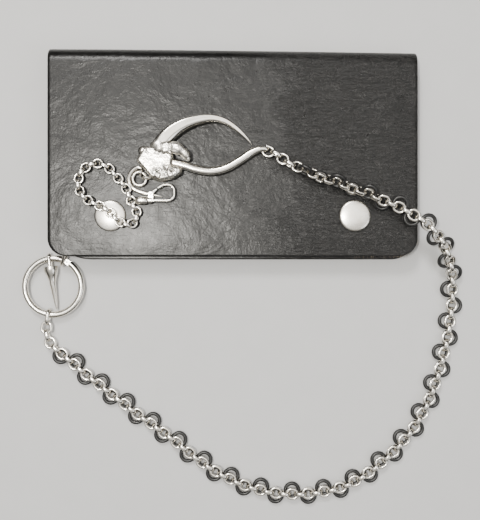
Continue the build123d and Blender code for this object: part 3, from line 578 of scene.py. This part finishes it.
black_hide = outer_leather("black_hide")
hide_edge = edge_leather("hide_edge")
hide_back = inner_leather("hide_back", "UV", 0.02)
pocket_hide = inner_leather("pocket_hide")
lining_cloth = cloth("lining_cloth", 0.022, "UV", 0.45)
tape_cloth = cloth("tape_cloth", 0.018, "Object", 0.6)
bright_silver = silver("bright_silver")
link_silver = silver("link_silver", rough=(0.14, 0.28), reach=0.9, pits=0.06)
claw_silver = silver("claw_silver", rough=(0.10, 0.24), reach=1.6, pits=0.05, cover=0.7)
head_silver = silver(
    "head_silver", dark=(0.07, 0.05, 0.03), rough=(0.16, 0.36), reach=1.4, pits=0.35, cover=0.95,
)
cap_silver = silver("cap_silver", rough=(0.20, 0.34), reach=1.0, pits=0.05, cover=0.5)
spring_steel = steel("plain_steel")
old_brass = steel("old_brass", (0.50, 0.40, 0.22), (0.32, 0.5))
black_rubber = rubber_finish("black_rubber")
dark_thread = thread_finish("dark_thread")
loose_fibre = fibre_finish("loose_fibre")


# ---------------------------------------------------------------- camera
view = bpy.data.cameras.new("view")
view.sensor_fit = "HORIZONTAL"
view.sensor_width = 36.0
view.lens = 61.9
view.clip_start = 0.01
view.clip_end = 30.0
viewer = bpy.data.objects.new("view", view)
viewer.location = (0.00394, -0.0573, 0.450)
bpy.context.scene.collection.objects.link(viewer)
bpy.context.scene.camera = viewer


# ---------------------------------------------------------------- outer leather: back, fold and cover
HALF = 97.5
COVER_LOW = -55.2
BACK_LOW = -57.0
FOLD_RADIUS = 7.2
FOLD_CENTRE = 48.0
COVER_TOP = 16.0
MID_HEIGHT = COVER_TOP / 2
COVER_RUN = FOLD_CENTRE - COVER_LOW
BACK_RUN = FOLD_CENTRE - BACK_LOW
ARC = FOLD_RADIUS * math.pi / 2
END_RUN = MID_HEIGHT - FOLD_RADIUS


def bow(x):
    """The fold runs slightly off square, lower at the right."""
    return 2.3 * max(0.0, (x + HALF) / (2 * HALF)) ** 1.5


def round_fold(s, run, depth, x):
    """Position across the fold: how far along Y, and how far from the outer face towards the middle."""
    shift = bow(x)
    if s <= run:
        return FOLD_CENTRE - run + s * (run - shift) / run, depth
    turned = (s - run) / FOLD_RADIUS
    reach = FOLD_RADIUS - depth
    if turned <= math.pi / 2:
        return FOLD_CENTRE - shift + reach * math.sin(turned), FOLD_RADIUS - reach * math.cos(turned)
    return FOLD_CENTRE - shift + reach, FOLD_RADIUS + s - run - ARC


def dip(x, y):
    """Handled leather is never quite flat: always at or below the CAD face."""
    value = 0.5 + 0.5 * soft_noise((x, y, 0.0), 34.0, 2.0)
    value += 0.25 * (0.5 + 0.5 * soft_noise((x, y, 0.0), 13.0, 5.0))
    near_edge = max(0.0, 1 - (y - COVER_LOW) / 9.0) * (0.5 + 0.5 * soft_noise((x, 0, 0), 26.0, 9.0))
    return 0.30 * value + 0.25 * near_edge


def cover_place(x, s, depth):
    y, down = round_fold(s, COVER_RUN, depth, x)
    return x, y, COVER_TOP - down - dip(x, y) * max(0.0, 1 - max(0.0, s - COVER_RUN + 8) / 12)


def back_place(x, s, depth):
    y, down = round_fold(s, BACK_RUN, depth, x)
    return x, y, down + 0.05


cover_length = COVER_RUN + ARC + END_RUN
cover_skin = sheet(
    "cover_leather", cover_place, rounded(-HALF, HALF, cover_length + 50, (9.5, 9.5)), cover_length, 2.0,
    near=10, step=1.5, columns=130, seam=True,
)
back_length = BACK_RUN + ARC + END_RUN
back_skin = sheet(
    "back_leather", back_place, rounded(-HALF, HALF, back_length + 50, (20.0, 11.0)), back_length, 2.0,
    near=20, step=1.5, columns=120, seam=True,
)
for skin in (cover_skin, back_skin):
    paint(skin, black_hide, hide_edge, hide_back)
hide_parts("front_cover")
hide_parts("spine")
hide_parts("back_panel")


# ---------------------------------------------------------------- inside panels
def fit_panel(piece, body, slot, *materials):
    paint(piece, *materials)
    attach(piece, body)


back_cloth = flat_sheet("back_lining_cloth", "back_lining", 10.0, 0.0, 0.05, (0, 0, 0, 4.5))
cover_cloth = flat_sheet("cover_lining_cloth", "cover_lining", 9.0, 0.0, 0.05, (0, 0, 0, 5.0))
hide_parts("back_lining")
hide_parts("cover_lining")
fit_panel(back_cloth, "wallet_back", "lining", lining_cloth, hide_edge, lining_cloth)
fit_panel(cover_cloth, "cover", "lining", lining_cloth, hide_edge, lining_cloth)
for node, crown in (("bill_divider", 0.15), ("card_base", 0.0), ("card_slot_1", 0.0), ("card_slot_2", 0.0),
                    ("card_slot_3", 0.25)):
    panel = flat_sheet(node + "_leather", node, 3.0, crown, 0.08)
    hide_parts(node)
    fit_panel(panel, "wallet_back", "inner_leather", hide_back, hide_edge, hide_back)

pocket_threads = []
for slot in range(3):
    low, high = (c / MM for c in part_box(f"card_slot_{slot + 1}"))
    top = high.z + 0.04
    pocket_threads.append(((low.x + 3, high.y - 2.2, top), (high.x - 3, high.y - 2.2, top)))
for x in (low.x + 2.0, high.x - 2.0):
    pocket_threads.append(((x, low.y + 3, high.z + 0.1), (x, high.y - 3, high.z + 0.1)))
pocket_stitches = stitches("pocket_stitches", pocket_threads)
fit_panel(pocket_stitches, "wallet_back", "inner_leather", dark_thread)


def soften_panel(name, node, body, slot, voxel, material, amount):
    """A leather or fabric piece cast from its CAD panel, with rounded edges and a hand-cut unevenness."""
    piece = merged_copy(name, node)
    cast(piece, voxel, 3, 0.4)
    displace(piece, lambda p, n: amount * soft_noise(p, 9.0, 4.0) * abs(n.z))
    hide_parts(node)
    fit_panel(piece, body, slot, material)


soften_panel("inner_flap_leather", "inner_flap", "wallet_back", "inner_leather", 0.42, pocket_hide, 0.05)
soften_panel("coin_pouch_leather", "coin_pouch", "wallet_back", "inner_leather", 0.45, pocket_hide, 0.06)
soften_panel("chain_tab_leather", "chain_tab", "cover", "outer_leather", 0.32, pocket_hide, 0.03)
soften_panel("zipper_tape_cloth", "zipper_tape", "wallet_back", "zipper_tape", 0.18, tape_cloth, 0.01)

low, high = (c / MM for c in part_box("inner_flap"))
flap_top = high.z + 0.03
flap_stitches = stitches("flap_stitches", [
    ((low.x + 5, high.y - 2, flap_top), (high.x - 5, high.y - 2, flap_top)),
    ((low.x + 5, low.y + 2, flap_top), (high.x - 5, low.y + 2, flap_top)),
    ((low.x + 2, low.y + 5, flap_top), (low.x + 2, high.y - 5, flap_top)),
    ((high.x - 2, low.y + 5, flap_top), (high.x - 2, high.y - 5, flap_top)),
])
fit_panel(flap_stitches, "wallet_back", "inner_leather", dark_thread)
low, high = (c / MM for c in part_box("coin_pouch"))
tape_low, tape_high = (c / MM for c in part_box("zipper_tape"))
tape_top = tape_high.z + 0.02
pouch_stitches = stitches("pouch_stitches", [
    ((tape_low.x + 1, tape_low.y + 0.9, tape_top), (tape_high.x - 1, tape_low.y + 0.9, tape_top)),
    ((tape_low.x + 1, tape_high.y - 0.9, tape_top), (tape_high.x - 1, tape_high.y - 0.9, tape_top)),
])
fit_panel(pouch_stitches, "wallet_back", "inner_leather", dark_thread)


def bellows(name, node):
    """Folded gusset leather with soft folds."""
    low, high = (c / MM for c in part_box(node))
    inward = low.x if abs(low.x) < abs(high.x) else high.x
    outer = high.x if inward == low.x else low.x
    sign = 1 if outer > inward else -1
    rise = (high.z - low.z - 1.2) / 3
    base = low.z + 0.5
    profile = through([
        (inward + sign * 0.5, base), (outer - sign * 0.9, base + 0.05),
        (outer - sign * 0.45, base + 0.35 * rise),
        (inward + sign * 0.9, base + rise * 1.0), (inward + sign * 0.45, base + rise * 1.2),
        (outer - sign * 0.9, base + rise * 1.9), (outer - sign * 0.45, base + rise * 2.15),
        (inward + sign * 0.5, base + rise * 2.95),
    ], 4)
    rows = 40
    width = len(profile)
    points = []
    for row in range(rows + 1):
        y = low.y + 0.5 + (high.y - low.y - 1.0) * row / rows
        for x, z in profile:
            across = 0.25 * soft_noise((x, y, z), 7.0, 3.0)
            points.append((x + across, y, z + 0.10 * soft_noise((x, y, z), 9.0, 6.0)))
    faces = [
        (r * width + c, r * width + c + 1, (r + 1) * width + c + 1, (r + 1) * width + c)
        for r in range(rows) for c in range(width - 1)
    ]
    piece = new_object(name, points, faces)
    thick = piece.modifiers.new("thickness", "SOLIDIFY")
    thick.thickness = 0.6 * MM
    thick.offset = 0.0
    settle(piece)
    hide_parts(node)
    fit_panel(piece, "wallet_back", "outer_leather", pocket_hide)


bellows("gusset_left_leather", "gusset_left")
bellows("gusset_right_leather", "gusset_right")


# ---------------------------------------------------------------- belt hook
claw_stations = through([
    (-39.5, -2.5, 20.2, 4.2, 3.2), (-36.4, 4.2, 20.2, 4.3, 3.4), (-31.2, 9.6, 20.1, 4.0, 3.2),
    (-24.9, 13.4, 20.0, 3.4, 2.9), (-18.5, 15.6, 19.8, 2.8, 2.5), (-11.2, 16.6, 19.6, 2.2, 2.1),
    (-4.4, 15.2, 19.3, 1.75, 1.8), (1.3, 11.8, 19.0, 1.4, 1.4), (6.0, 7.7, 18.7, 0.95, 1.0),
    (9.2, 4.3, 18.45, 0.4, 0.4), (9.9, 3.5, 18.38, 0.08, 0.08),
], 10)


def claw_shape(angle, t):
    """A ridge along the outer shoulder, a hollow inside it and a flatter underside."""
    fade = min(1.0, t * 6) * min(1.0, (1 - t) * 4)
    ridge = 0.11 * bump_at(angle, math.radians(128), 0.20)
    hollow = -0.075 * bump_at(angle, math.radians(95), 0.42)
    under = -0.12 * bump_at(angle, math.radians(270), 0.7)
    return 1 + fade * (ridge + hollow) + under


claw = sweep("claw", claw_stations, 64, claw_shape)
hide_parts("hook_claw")
fit_panel(claw, "hook", "silver", claw_silver)

def absorb(piece, *others):
    """Join other pieces' meshes to a piece and remove them."""
    shape = bmesh.new()
    shape.from_mesh(piece.data)
    for other in others:
        shape.from_mesh(other.data)
        bpy.data.objects.remove(other)
    shape.to_mesh(piece.data)
    shape.free()
    piece.data.update()


finger_stations = through([
    (-39.0, 0.2, 21.8, 1.6, 1.4), (-36.8, 1.0, 22.4, 2.5, 1.8), (-32.6, 1.5, 22.9, 2.9, 2.0),
    (-28.4, 0.7, 23.1, 2.8, 2.0), (-25.2, -1.5, 22.9, 2.5, 1.9), (-23.3, -4.2, 22.2, 1.9, 1.6),
    (-22.8, -5.8, 21.6, 0.7, 0.7),
], 8)
head = merged_copy("hook_head", "hook_knuckle", "hook_finger", "hook_nugget")
absorb(head, sweep("finger", finger_stations, 28))
cast(head, 0.22, 9, 0.5)
finger_line = [Vector(station[:3]) for station in finger_stations]


def head_height(point, normal):
    """Pitted facet, dimpled nub, grooved finger and a rough lumpy nugget."""
    value = 0.05 * soft_noise(point, 0.9, 1.0) + 0.06 * soft_noise(point, 2.6, 3.0)
    nugget = bump_at(point.x, -33.5, 8.0) * bump_at(point.y, -12.4, 4.2)
    if point.y < -6.5 and point.x > -42.5 and nugget > 0.05:
        lumps = 1 - 2 * abs(soft_noise(point, 2.9, 8.0))
        small = 1 - 2 * abs(soft_noise(point, 1.25, 12.0))
        value += nugget * (0.95 * lumps + 0.22 * small - 0.60)
    near = min(range(len(finger_line)), key=lambda i: (finger_line[i] - point).length_squared)
    if (finger_line[near] - point).length < 3.3 and point.z > 20.8:
        run = near / (len(finger_line) - 1)
        grooves = sum(bump_at(run, centre, 0.035) for centre in (0.36, 0.62, 0.84))
        value -= 0.50 * grooves
        value += 0.22 * math.sin(math.pi * min(max((run - 0.05) / 0.9, 0), 1) * 3) ** 2
    nub = (point - Vector((-46.2, -0.6, 22.4))).length
    value -= 0.35 * bump_at(nub, 0.0, 0.9)
    brow = abs((point - Vector((-41.5, 1.0, 20.5))).length - 4.6)
    if point.y > -2.0 and point.z > 19.0:
        value -= 0.30 * bump_at(brow, 0.0, 0.45)
    return value


displace(head, head_height)
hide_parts("hook_knuckle", "hook_finger", "hook_nugget")
fit_panel(head, "hook", "silver", head_silver)

cuff_stations = through([
    (-39.0, -1.2, 20.2, 4.2, 3.3), (-38.4, 0.2, 20.25, 5.0, 3.9), (-37.7, 1.5, 20.25, 5.15, 4.0),
    (-37.0, 2.9, 20.2, 4.75, 3.75), (-36.4, 4.0, 20.2, 4.1, 3.3),
], 8)


def cuff_shape(angle, t):
    """Soft puckers round the cuff and a flatter underside."""
    return 1 + 0.05 * math.sin(5 * angle + 3 * t) - 0.1 * bump_at(angle, math.radians(270), 0.8)


cuff = sweep("claw_cuff", cuff_stations, 56, cuff_shape)
fit_panel(cuff, "hook", "silver", head_silver)


arm_stations = through([
    (-35.0, -6.6, 19.4, 2.3, 2.2), (-30.5, -6.8, 19.4, 2.4, 2.25), (-25.3, -8.0, 19.4, 2.45, 2.3),
    (-18.0, -10.2, 19.4, 2.45, 2.3), (-10.7, -11.0, 19.4, 2.4, 2.3), (-3.4, -9.4, 19.4, 2.35, 2.25),
    (3.9, -5.3, 19.4, 2.35, 2.25), (9.2, -1.7, 19.35, 2.3, 2.25), (12.8, 0.1, 19.3, 2.1, 2.25),
    (15.4, 0.6, 19.3, 1.75, 2.25), (17.2, 0.65, 19.3, 1.7, 2.1), (18.4, 0.5, 19.3, 1.25, 1.5),
    (18.9, 0.4, 19.3, 0.4, 0.5),
], 8)
arm = sweep("hook_bar", arm_stations, 40, lambda a, t: 1 - 0.05 * bump_at(a, math.radians(90), 0.5))
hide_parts("hook_arm")
fit_panel(arm, "hook", "silver", claw_silver)


# ---------------------------------------------------------------- chains and rubber rings
def islands(node):
    """Middle, longest, middle and shortest direction of each loose part of a CAD node, in millimetres."""
    mesh = nodes[node].data
    parent = list(range(len(mesh.vertices)))

    def root(index):
        while parent[index] != index:
            parent[index] = parent[parent[index]]
            index = parent[index]
        return index
    for edge in mesh.edges:
        a, b = root(edge.vertices[0]), root(edge.vertices[1])
        if a != b:
            parent[b] = a
    by_place = {}
    for vertex in mesh.vertices:
        key = tuple(round(c * 1e6) for c in vertex.co)
        if key in by_place:
            a, b = root(by_place[key]), root(vertex.index)
            if a != b:
                parent[b] = a
        else:
            by_place[key] = vertex.index
    groups = {}
    for vertex in mesh.vertices:
        groups.setdefault(root(vertex.index), []).append(tuple(nodes[node].matrix_world @ vertex.co / MM))
    parts = []
    for group in groups.values():
        places = numpy.unique(numpy.round(numpy.array(group), 4), axis=0)
        middle = (places.max(axis=0) + places.min(axis=0)) / 2
        spread, directions = numpy.linalg.eigh(numpy.cov((places - places.mean(axis=0)).T))
        parts.append((Vector(middle), *(Vector(directions[:, i]) for i in (2, 1, 0))))
    return sorted(parts, key=lambda part: tuple(part[0]))


def solid_loops(name, loops, path, section):
    """One closed ring for each (middle, along, across, axis), from path and section in millimetres."""
    points = []
    faces = []
    for middle, along, across, axis in loops:
        first = len(points)
        for spot, outward_way in path:
            centre = middle + along * spot[0] + across * spot[1]
            out = along * outward_way[0] + across * outward_way[1]
            points += [centre + out * r + axis * h for r, h in section]
        rows = len(path)
        width = len(section)
        for row in range(rows):
            follow_row = (row + 1) % rows
            for corner in range(width):
                follow = (corner + 1) % width
                faces.append((first + row * width + corner, first + row * width + follow,
                              first + follow_row * width + follow, first + follow_row * width + corner))
    piece = new_object(name, points, faces)
    outward(piece)
    return piece


def oval_path(length, width, wall, steps=36):
    """Middle line of an oval link and the way outward at each point."""
    flat = (length - width) / 2
    radius = (width - wall) / 2
    path = []
    for step in range(steps):
        angle = 2 * math.pi * (step + 0.5) / steps
        way = (math.cos(angle), math.sin(angle))
        path.append(((way[0] * radius + math.copysign(flat, way[0]), way[1] * radius), way))
    return path


def soft_box(half_wall, half_band, power=3.2, steps=14):
    """A rounded rectangular section."""
    section = []
    for step in range(steps):
        angle = 2 * math.pi * (step + 0.5) / steps
        c, s = math.cos(angle), math.sin(angle)
        section.append((math.copysign(abs(c) ** (2 / power), c) * half_wall,
                        math.copysign(abs(s) ** (2 / power), s) * half_band))
    return section


LINK = oval_path(7.25, 6.4, 1.4)
LINK_SECTION = soft_box(0.7, 1.05)
SMALL_LINK = oval_path(6.0, 5.4, 1.15)
SMALL_LINK_SECTION = soft_box(0.575, 0.95)
RUBBER_RADIUS = 3.6
RUBBER_CORD = 2.0
RUBBER_OUTSIDE = 2 * RUBBER_RADIUS + RUBBER_CORD
RUBBER = oval_path(RUBBER_OUTSIDE, RUBBER_OUTSIDE, RUBBER_CORD, 40)
RUBBER_SECTION = soft_box(RUBBER_CORD / 2, RUBBER_CORD / 2, 2.0, 12)
for number in range(1, 6):
    links = solid_loops(f"silver_links_{number}", islands(f"chain_links_{number}"), LINK, LINK_SECTION)
    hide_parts(f"chain_links_{number}")
    fit_panel(links, f"chain_{number}", "silver", link_silver)
    rings = solid_loops(f"black_rings_{number}", islands(f"rubber_rings_{number}"), RUBBER, RUBBER_SECTION)
    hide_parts(f"rubber_rings_{number}")
    fit_panel(rings, f"chain_{number}", "rubber", black_rubber)
small_links = solid_loops("small_links", islands("key_chain"), SMALL_LINK, SMALL_LINK_SECTION)
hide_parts("key_chain")
fit_panel(small_links, "key_chain", "silver", link_silver)


# ---------------------------------------------------------------- strap claw and swivel clip
clip_y = -26.3
clip_z = 19.0
bullet_profile = [
    (-51.4, 0.75), (-50.8, 1.2), (-50.0, 1.75), (-49.0, 2.08), (-47.5, 2.15), (-46.0, 2.12), (-45.0, 1.98),
    (-44.45, 1.7),
]
bullet = sweep("clip_bullet", through([(x, clip_y, clip_z, r, r) for x, r in bullet_profile], 5), 36)
eye_middle = Vector((-53.1, clip_y, clip_z))
eye_ring = solid_loops("clip_eye", [(eye_middle, Vector((1, 0, 0)), Vector((0, 1, 0)), Vector((0, 0, 1)))],
                       oval_path(5.75, 5.75, 1.35, 40), soft_box(0.675, 0.65, 2.0, 14))
absorb(bullet, eye_ring)
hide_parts("clip_barrel")
fit_panel(bullet, "strap_claw", "silver", bright_silver)

latch = sweep("clip_latch", through([
    (-43.3, -24.0, clip_z, 0.55, 0.5), (-42.8, -23.2, clip_z, 0.95, 0.75), (-41.8, -22.2, clip_z, 0.95, 0.8),
    (-40.6, -21.1, clip_z, 0.8, 0.75), (-39.6, -20.25, clip_z, 0.65, 0.65), (-39.3, -20.0, clip_z, 0.3, 0.3),
], 6), 24)
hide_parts("clip_gate")
fit_panel(latch, "clip_gate", "silver", bright_silver)

strap_eye = Vector((-47.69, -11.52, 19.0))
strap_out = Vector((0.259, 0.966, 0))
strap_claw = sweep("small_claw", through([
    (-47.3, -9.95, 19.0, 0.6, 0.6), (-48.6, -9.1, 18.9, 0.9, 0.8), (-50.4, -9.2, 18.6, 1.1, 0.9),
    (-53.0, -11.4, 18.0, 1.2, 0.9), (-54.3, -15.3, 17.3, 1.15, 0.85), (-52.9, -19.1, 16.98, 1.15, 0.82),
    (-48.6, -21.5, 16.98, 1.15, 0.8), (-43.4, -22.8, 16.98, 0.95, 0.75), (-38.8, -23.7, 17.05, 0.5, 0.45),
    (-36.8, -24.2, 17.1, 0.1, 0.1),
], 8), 32)
claw_eye = solid_loops("strap_eye", [(strap_eye, strap_out, Vector((0, 0, 1)), Vector((0.966, -0.259, 0)))],
                       oval_path(4.6, 4.6, 1.25, 36), soft_box(0.62, 0.6, 2.0, 14))
absorb(strap_claw, claw_eye)
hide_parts("strap_claw")
fit_panel(strap_claw, "strap_claw", "silver", bright_silver)


# ---------------------------------------------------------------- snap caps
def turned(points, faces, middle, profile, steps=56):
    """Add a turned solid to points and faces; profile is (radius, height) from the top middle down."""
    first = len(points)
    points.append((middle[0], middle[1], profile[0][1]))
    for radius, height in profile[1:]:
        for step in range(steps):
            angle = 2 * math.pi * step / steps
            x = middle[0] + radius * math.cos(angle)
            y = middle[1] + radius * math.sin(angle)
            points.append((x, y, height))
    for step in range(steps):
        follow = (step + 1) % steps
        faces.append((first, first + 1 + step, first + 1 + follow))
        for row in range(len(profile) - 2):
            a = first + 1 + row * steps
            faces.append((a + step, a + steps + step, a + steps + follow, a + follow))
    last = first + 1 + (len(profile) - 2) * steps
    faces.append(tuple(last + step for step in range(steps)))


cap_points = []
cap_faces = []
cap_low, cap_high = (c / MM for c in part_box("snap_caps"))
cap_profile = [(0, cap_high.z)]
cap_profile += [(r, cap_high.z - 0.85 * (r / 8.3) ** 2.6) for r in (1.5, 3.0, 4.4, 5.6, 6.5, 7.1, 7.5)]
cap_profile += [(7.75, cap_high.z - 0.80), (8.05, cap_high.z - 0.92), (8.25, cap_high.z - 1.2),
                (8.3, cap_high.z - 1.5), (8.15, cap_low.z + 0.1), (7.9, cap_low.z)]
for middle, *_ in islands("snap_caps"):
    turned(cap_points, cap_faces, middle, cap_profile)
caps = new_object("domed_caps", cap_points, cap_faces)
outward(caps)
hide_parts("snap_caps")
fit_panel(caps, "cover", "silver", cap_silver)


# ---------------------------------------------------------------- frayed fibres at the lower right corner
CORNER_X = 88.0
CORNER_Y = -45.7
CORNER_REACH = 9.4
fibre_points = []
fibre_faces = []
for index in range(90):
    angle = random.uniform(-100, -5)
    spread = random.random()
    if spread < 0.55:
        out = Vector((math.cos(math.radians(angle)), math.sin(math.radians(angle)), 0))
        root = Vector((CORNER_X, CORNER_Y, 0)) + out * CORNER_REACH
    else:
        root = Vector((random.uniform(62, 90), COVER_LOW + 0.1, 0))
        out = Vector((random.uniform(-0.5, 0.5), -1, 0)).normalized()
    root.z = random.uniform(14.0, 15.3)
    reach = random.uniform(0.5, 2.0)
    droop = random.uniform(-0.5, 0.3)
    sway = random.uniform(-0.6, 0.6)
    side = Vector((-out.y, out.x, 0))
    first = len(fibre_points)
    for part in range(5):
        t = part / 4
        place = root + out * reach * t + side * sway * t * t * reach + Vector((0, 0, droop * t * t))
        thick = 0.055 * (1 - 0.8 * t)
        for corner in range(3):
            turn = 2 * math.pi * corner / 3
            rise = Vector((0, 0, 1)) * math.sin(turn) * thick
            fibre_points.append(place + side * math.cos(turn) * thick + rise)
    for part in range(4):
        for corner in range(3):
            follow = (corner + 1) % 3
            base = first + part * 3
            fibre_faces.append((base + corner, base + follow, base + 3 + follow, base + 3 + corner))
fibres = new_object("frayed_fibres", fibre_points, fibre_faces)
fit_panel(fibres, "cover", "outer_leather", loose_fibre)


# ---------------------------------------------------------------- finishes on the carried-over CAD pieces
finishes = {
    bright_silver: ["ring_body", "ring_gate", "charm_bail", "charm_bell", "charm_claw", "ring_link",
                    "anchor_link", "tab_grommet", "tab_rivet", "strap_ring", "clip_hook"],
    spring_steel: ["snap_sockets", "snap_studs", "stud_rivets", "gate_pin", "gate_spring", "clip_pin"],
    old_brass: ["zipper_teeth", "zipper_stops", "zipper_slider", "zipper_pull"],
}
for material, members in finishes.items():
    for member in members:
        paint(nodes[member], material)

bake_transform(cover_skin)
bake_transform(back_skin)


# ---------------------------------------------------------------- floor and light
def stage_floor():
    size = 3000
    under = -0.05
    corners = [(-size, -size, under), (size, -size, under), (size, size, under), (-size, size, under)]
    floor = new_object("floor", corners, [(0, 1, 2, 3)])
    f = Finish("pale_floor")
    tone = f.noise(f.place("Object", (1, 1, 1)), 60.0, 4.0)
    f.set("Base Color", f.mix(tone, grey(0.60), grey(0.64)))
    f.set("Roughness", 0.75)
    paint(floor, f.material)


def lamp(name, place, target, size, power, tone=(1, 1, 1)):
    light = bpy.data.lights.new(name, "AREA")
    light.shape = "RECTANGLE"
    light.size, light.size_y = size
    light.energy = power
    light.color = tone
    holder = bpy.data.objects.new(name, light)
    holder.location = place
    holder.rotation_euler = (Vector(target) - Vector(place)).to_track_quat("-Z", "Y").to_euler()
    bpy.context.scene.collection.objects.link(holder)


stage_floor()
lamp("key", (-0.30, 0.85, 1.30), (0, -0.05, 0), (0.35, 0.35), 16.0, (1.0, 0.98, 0.95))
lamp("overhead", (0.0, 0.13, 1.00), (0.0, 0.0, 0), (1.25, 0.50), 3.3, (1.0, 0.975, 0.93))
lamp("spot", (-0.185, -0.023, 1.00), (-0.05, -0.03, 0), (0.06, 0.035), 7.0, (1.0, 0.97, 0.90))
lamp("fill", (0.9, -0.5, 0.9), (0, -0.05, 0), (0.6, 0.6), 3.0, (0.95, 0.97, 1.0))
sky = bpy.data.worlds.new("studio")
sky.use_nodes = True
tree = sky.node_tree
heights = tree.nodes.new("ShaderNodeSeparateXYZ")
tree.links.new(tree.nodes.new("ShaderNodeTexCoord").outputs["Generated"], heights.inputs["Vector"])
grade = tree.nodes.new("ShaderNodeMapRange")
for socket, value in (("From Min", 0.45), ("From Max", 0.98), ("To Min", 0.05), ("To Max", 0.95)):
    grade.inputs[socket].default_value = value
tree.links.new(heights.outputs["Z"], grade.inputs["Value"])
tree.links.new(grade.outputs["Result"], tree.nodes["Background"].inputs["Strength"])
tree.nodes["Background"].inputs["Color"].default_value = (0.90, 0.885, 0.85, 1.0)
bpy.context.scene.world = sky
